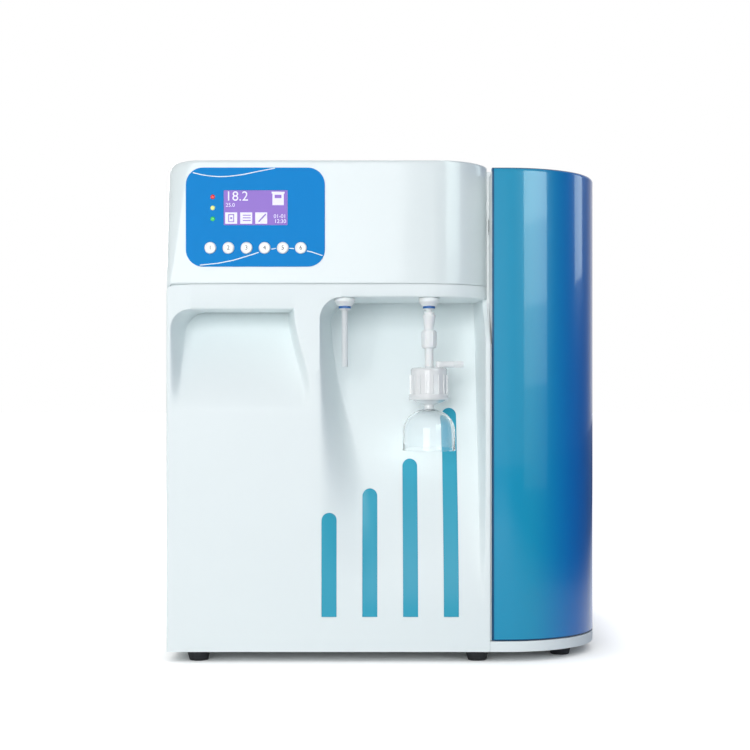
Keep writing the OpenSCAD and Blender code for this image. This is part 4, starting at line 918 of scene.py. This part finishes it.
def make_clip(side, x, first):
    """The clip that locks a collet: a ring open at the back, with a thumb tab in front."""
    low, high = span("lock_clips", "z")
    z0, z1 = low + 0.1, high - 0.05
    loop = [polar(6.2, a) for a in range(-225, 46, 9)]
    loop += [polar(4.93, a) for a in range(45, -226, -9)]
    bm = bmesh.new()
    strip(bm, [[(x + a, OUT_Y + b, z) for a, b in loop] for z in (z0, z1)], closed=True)
    box(bm, (x - 2.2, OUT_Y - 8.2, z0), (x + 2.2, OUT_Y - 5.9, z1))
    bevel(piece("clip_" + side, bm, "clip_blue", smooth=30,
                stands_for=["lock_clips"] if first else ()), 0.25, 2)


def make_nozzle():
    """The plain outlet tube, with a groove where the collet grips it."""
    bore, r = 2.15, 3.175
    z0, z1 = span("nozzle_tube", "z")
    groove = z1 - 16.5
    prof = [(bore, z0), (3.0, z0), (r, z0 + 0.2), (r, groove), (r - 0.4, groove),
            (r - 0.4, groove + 0.9), (r, groove + 0.9), (r, z1), (bore, z1)]
    turned("nozzle_skin", prof, NOZ_X, OUT_Y, "clear_plastic", seg=48,
           stands_for=["nozzle_tube"], material=TUBE)


for make in (make_outlet, make_clip):
    make("left", NOZ_X, True)
    make("right", OUT_X, False)
make_nozzle()


# ---------------------------------------------------------------- final filter
def make_adapter():
    """Tube, cone, rings and lower tube, and the hexagon nut on them."""
    prof = [(2.15, 38), (4.4, 38), (4.4, 61), (6.9, 61.6), (7.0, 63), (7.4, 63), (7.4, 78),
            (6.6, 78.2), (6.6, 79), (4.6, 79.6), (5.2, 85), (6.1, 91), (6.4, 92), (6.4, 94.6),
            (5.0, 95), (5.0, 96.2), (5.4, 96.4), (5.4, 97.6), (5.0, 97.9), (3.175, 98),
            (3.175, 111.3), (2.15, 111.3)]
    turned("filter_adapter", prof, OUT_X, OUT_Y, "nylon_white", z=FILTER_Z, body="filter",
           stands_for=["filter_stem"])
    bm = bmesh.new()
    strip(bm, [[(OUT_X + a, OUT_Y + b, FILTER_Z + h) for a, b in hexagon(8.0)]
               for h in (63.2, 77.9)], closed=True)
    bevel(piece("filter_nut", bm, "nylon_white", body="filter", smooth=30), 0.7, 3)


def make_capsule():
    """The capsule from its lower boss up its outside, and down its inside again."""
    prof = [(2.2, 0.1), (4.6, 0.1), (4.6, 4.2), (5.6, 4.4), (12, 6.6), (17.5, 9)]
    prof += fillet(19.5, 9.8, 0.8, 270, 360, 4)
    prof += [(20.3, 12), (20.0, 12.3), (20.0, 12.7), (20.3, 13)]
    prof += fillet(19.7, 14.4, 0.6, 0, 90, 3)
    prof += [(18.7, 15.1), (18.5, 15.6), (18.5, 37.5)] + fillet(15.5, 38.5, 3.0, 0, 80, 6)
    prof += [(10.2, 42), (4.8, 42.1), (4.8, 40.4), (9.8, 40.2), (15.8, 39.4), (16.9, 38),
             (17.0, 16), (15.5, 11.5), (4.6, 6.2), (2.2, 5.6)]
    turned("capsule_skin", prof, OUT_X, OUT_Y, "clear_plastic", z=FILTER_Z, seg=96,
           body="filter", stands_for=["filter_capsule"], material=CAPSULE)


def make_capsule_ribs():
    """Grip ribs round the capsule, and the vent's boss and spigot."""
    bm = bmesh.new()
    for k in range(18):
        a = math.radians(20 * k)
        c, s = math.cos(a), math.sin(a)
        section = ((18.2, -0.55), (19.5, -0.4), (19.5, 0.4), (18.2, 0.55))
        strip(bm, [[(OUT_X + r * c - w * s, OUT_Y + r * s + w * c, FILTER_Z + h)
                    for r, w in section] for h in (15.3, 34)], closed=True)
    lathe(bm, [(0.01, 0), (3.2, 0), (3.2, 15.5), (0.01, 15.5)], OUT_X + 10, OUT_Y, VENT_Z,
          seg=32, axis="x")
    boss = [(0.01, 40), (3.4, 40)] + fillet(2.2, 47, 1.2, 0, 90, 4) + [(0.01, 48.2)]
    lathe(bm, boss, OUT_X + 10, OUT_Y, FILTER_Z, seg=32)
    piece("capsule_ribs", bm, "clear_plastic", body="filter", material=CAPSULE, smooth=30)


def make_element():
    """The pleated membrane inside the capsule."""
    pleats = [polar(15.4 if k % 2 else 13.6, 5 * k) for k in range(72)]
    bm = bmesh.new()
    strip(bm, [[(OUT_X + a, OUT_Y + b, FILTER_Z + h) for a, b in pleats]
               for h in (13.5, 38)], closed=True)
    piece("capsule_element", bm, "cartridge_white", body="filter", material=MEMBRANE, smooth=0)


def make_vent_plug():
    x = OUT_X + 25.6
    bm = bmesh.new()
    strip(bm, [[(x + h, OUT_Y + a, VENT_Z + b) for a, b in hexagon(3.9)] for h in (0, 7)],
          closed=True)
    lathe(bm, [(0.01, 6.9), (3.0, 6.9), (3.0, 9.1), (1.4, 9.1), (1.4, 7.6), (0.01, 7.6)],
          x, OUT_Y, VENT_Z, seg=32, axis="x")
    bevel(piece("vent_plug", bm, "nylon_white", body="filter", stands_for=["filter_vent"],
                smooth=30), 0.3, 2)


def make_bell():
    """The filling bell: rolled rim, outside up to the neck, and inside down again."""
    outer, inner = 26.5, 24.9
    rim, dome_h = -42.0, -25.0

    def dome(r, h, angles):
        return [(r * math.cos(math.radians(a)) ** 0.9,
                 dome_h + h * math.sin(math.radians(a)) ** 0.9) for a in angles]

    prof = [(24.7, rim + 0.3), (25.4, rim), (26.4, rim), (26.8, rim + 0.5), (26.8, rim + 1.8),
            (outer, rim + 2.6)]
    prof += dome(outer, -dome_h, range(0, 77, 4))
    prof += [(6, 0), (4.6, 0), (2.2, 0), (2.2, -1.6)]
    prof += dome(inner, -dome_h - 1.6, range(84, -1, -4))
    prof += [(inner, rim + 3)]
    turned("bell_skin", prof, OUT_X, OUT_Y, "clear_plastic", z=FILTER_Z, seg=96,
           body="filter", stands_for=["filter_bell"], material=BELL)


make_adapter()
make_capsule()
make_capsule_ribs()
make_element()
make_vent_plug()
make_bell()


# ---------------------------------------------------------------- feet, sheets and screws
def make_feet():
    left, middle, right = LEFT + 31, LEFT + 312, RIGHT - 36
    front, back = FRONT + 16, BACK - 26
    places = [(left, front), (middle, front), (RIGHT - 40, FRONT + 52), (left, back),
              (middle, back), (right, back)]
    prof = [(5.0, 0.0), (9.0, 0.0), (9.5, 0.5), (10.2, 3.0), (9.9, 3.3), (10.4, 3.7),
            (11.6, 8.6), (12.0, 9.2), (12.0, 10.0), (2.2, 10.0), (2.2, 4.5), (5.0, 4.5)]
    for k, (x, y) in enumerate(places):
        turned("foot_%d_%d" % (int(x), int(y)), prof, x, y, "black_rubber", seg=56,
               stands_for=() if k else ["feet"])


def soften_sheets():
    """Softened edges on the plates that stay as CAD solids."""
    for n in ("base_tray", "top_cover", "rear_panel", "left_side_panel", "bay_top"):
        m = N[n].modifiers.new("Edge", "BEVEL")
        m.width, m.segments, m.limit_method = 0.4 * MM, 2, "ANGLE"
        m.angle_limit = math.radians(50)


def make_rear_screws():
    head = [(0.01, 0.02), (3.0, 0.02), (3.0, 0.5), (2.2, 1.3), (0.8, 1.6), (0.01, 1.6)]
    bm = bmesh.new()
    for x in (LEFT + 10, -20.0, 96.0):
        for z in (22.0, 250.0, 476.0):
            lathe(bm, head, x, BACK, z, seg=24, axis="y")
    piece("rear_screws", bm, "bright_steel")


make_feet()
soften_sheets()
make_rear_screws()


# ---------------------------------------------------------------- set, metres
scene = bpy.context.scene
WHITE = (1, 1, 1, 1)
# Light of the world and the floor on the object, and its colour from the far right
AMBIENT, FLOOR_GLOW = 0.48, 0.8
SIDE = (0.16, 0.24, 0.46, 1)
# The camera's aim is level, and its picture is shifted up by this many of 750 pixels
CAMERA, SHIFT = (-0.011, FRONT * MM - 1.5, 0.258), 29


def seen_ray(tree):
    """1 where a camera, glossy or transmitted ray looks, else 0, and 0 after a diffuse
    bounce, so that no light leaks through the clear parts."""
    ray = add_node(tree, "ShaderNodeLightPath")
    direct = add_node(tree, "ShaderNodeMath", operation="MAXIMUM")
    seen = add_node(tree, "ShaderNodeMath", operation="MAXIMUM")
    first = add_node(tree, "ShaderNodeMath", {1: 0.5}, operation="LESS_THAN")
    both = add_node(tree, "ShaderNodeMath", operation="MULTIPLY")
    wire(tree, (ray.outputs["Is Camera Ray"], direct.inputs[0]),
         (ray.outputs["Is Glossy Ray"], direct.inputs[1]),
         (direct.outputs[0], seen.inputs[0]),
         (ray.outputs["Is Transmission Ray"], seen.inputs[1]),
         (ray.outputs["Diffuse Depth"], first.inputs[0]),
         (seen.outputs[0], both.inputs[0]),
         (first.outputs[0], both.inputs[1]))
    return both.outputs[0], ray.outputs["Is Camera Ray"]


def floor_material():
    """White to the camera, with the object's shadow, and dark to the right of the object where
    only its reflection is seen."""
    m = bpy.data.materials.new("Floor")
    m.use_nodes = True
    tree = m.node_tree
    p = tree.nodes["Principled BSDF"]
    p.inputs["Roughness"].default_value = 0.9
    p.inputs["Specular IOR Level"].default_value = 0.0
    p.inputs["Emission Strength"].default_value = 1.0
    seen, camera_ray = seen_ray(tree)
    near = add_node(tree, "ShaderNodeAmbientOcclusion",
                    {"Distance": 0.06, "Color": (FLOOR_GLOW, FLOOR_GLOW, FLOOR_GLOW, 1)},
                    samples=8)
    place = add_node(tree, "ShaderNodeTexCoord")
    split = add_node(tree, "ShaderNodeSeparateXYZ")
    far = add_node(tree, "ShaderNodeMapRange",
                   {"From Min": 0.1, "From Max": 1.2, "To Min": 1.0, "To Max": 0.06},
                   interpolation_type="SMOOTHSTEP")
    keep = add_node(tree, "ShaderNodeMath", operation="MAXIMUM")
    amount = add_node(tree, "ShaderNodeMath", operation="MULTIPLY")
    glow = add_node(tree, "ShaderNodeMix", {"A": (0, 0, 0, 1)}, data_type="RGBA")
    base = add_node(tree, "ShaderNodeMix",
                    {"A": (0.05, 0.09, 0.18, 1), "B": (0.78, 0.80, 0.80, 1)}, data_type="RGBA")
    wire(tree, (place.outputs["Object"], split.inputs[0]),
         (split.outputs["X"], far.inputs["Value"]),
         (far.outputs[0], keep.inputs[0]),
         (camera_ray, keep.inputs[1]),
         (seen, amount.inputs[0]),
         (keep.outputs[0], amount.inputs[1]),
         (near.outputs["Color"], glow.inputs["B"]),
         (amount.outputs[0], glow.inputs["Factor"]),
         (glow.outputs["Result"], p.inputs["Emission Color"]),
         (keep.outputs[0], base.inputs["Factor"]),
         (base.outputs["Result"], p.inputs["Base Color"]))
    return m


def make_floor():
    bm = bmesh.new()
    bmesh.ops.create_grid(bm, x_segments=1, y_segments=1, size=40.0)
    me = bpy.data.meshes.new("floor")
    bm.to_mesh(me)
    bm.free()
    me.materials.append(floor_material())
    o = bpy.data.objects.new("floor", me)
    scene.collection.objects.link(o)


def make_world():
    """White where it is seen; the diffuse light is softer and falls off to the right."""
    w = bpy.data.worlds.new("Studio")
    scene.world = w
    w.use_nodes = True
    tree = w.node_tree
    sky = tree.nodes["Background"]
    sky.inputs["Strength"].default_value = 1.0
    seen, camera_ray = seen_ray(tree)
    place = add_node(tree, "ShaderNodeTexCoord")
    split = add_node(tree, "ShaderNodeSeparateXYZ")
    side = add_node(tree, "ShaderNodeMapRange", {"From Min": 0.30, "From Max": 0.90},
                    interpolation_type="SMOOTHSTEP")
    flag = add_node(tree, "ShaderNodeMix", {"A": WHITE, "B": SIDE}, data_type="RGBA")
    soft = add_node(tree, "ShaderNodeMix",
                    {"Factor": 1.0, "B": (AMBIENT * 0.985, AMBIENT, AMBIENT * 1.01, 1)},
                    data_type="RGBA", blend_type="MULTIPLY")
    reflected = add_node(tree, "ShaderNodeMix", data_type="RGBA")
    shown = add_node(tree, "ShaderNodeMix", {"B": WHITE}, data_type="RGBA")
    wire(tree, (place.outputs["Generated"], split.inputs[0]),
         (split.outputs["X"], side.inputs["Value"]),
         (side.outputs[0], flag.inputs["Factor"]),
         (flag.outputs["Result"], soft.inputs["A"]),
         (seen, reflected.inputs["Factor"]),
         (soft.outputs["Result"], reflected.inputs["A"]),
         (flag.outputs["Result"], reflected.inputs["B"]),
         (camera_ray, shown.inputs["Factor"]),
         (reflected.outputs["Result"], shown.inputs["A"]),
         (shown.outputs["Result"], sky.inputs["Color"]))


def area(name, loc, target, width, height, power, color=(1, 1, 1), gloss_only=False):
    """A soft box that looks at a point; gloss_only lamps show in reflections alone."""
    lamp = bpy.data.lights.new(name, "AREA")
    lamp.shape, lamp.size, lamp.size_y = "RECTANGLE", width, height
    lamp.energy, lamp.color = power, color
    o = bpy.data.objects.new(name, lamp)
    o.location = loc
    o.rotation_euler = (Vector(target) - Vector(loc)).to_track_quat("-Z", "Y").to_euler()
    o.visible_diffuse, o.visible_transmission = not gloss_only, False
    scene.collection.objects.link(o)


def make_lights():
    """Key and back light, and the lamps for the pale bands on the door's round side: one
    stands at each height, stronger towards the top."""
    bands = ((0.25, 0.35), (0.42, 1.2), (0.60, 2.6), (0.80, 4.2), (1.02, 5.6))
    for k, (z, power) in enumerate(bands):
        area("band_light_%d" % k, (0.92, -1.08, z), (0.13, -0.18, z), 0.64, 0.22, power,
             (0.84, 1.0, 0.96), gloss_only=True)
    area("edge_light", (2.05, 0.50, 1.00), (0.19, -0.12, 0.45), 0.6, 0.7, 6.0,
         (0.84, 1.0, 0.98), gloss_only=True)
    area("key_light", (-0.52, -2.60, 0.72), (0, -0.1, 0.28), 1.2, 1.0, 30.0)
    area("back_light", (-0.9, 2.4, 0.9), (0, 0.1, 0.25), 1.0, 0.7, 20.0)


def make_camera():
    lens = bpy.data.cameras.new("Camera")
    lens.sensor_width, lens.lens, lens.clip_end = 36.0, 72.0, 60
    lens.shift_y = SHIFT / 750
    o = bpy.data.objects.new("Camera", lens)
    o.location = CAMERA
    o.rotation_euler = (math.pi / 2, 0, 0)
    scene.collection.objects.link(o)
    scene.camera = o


make_floor()
make_world()
make_lights()
make_camera()
scene.view_settings.view_transform = "Standard"
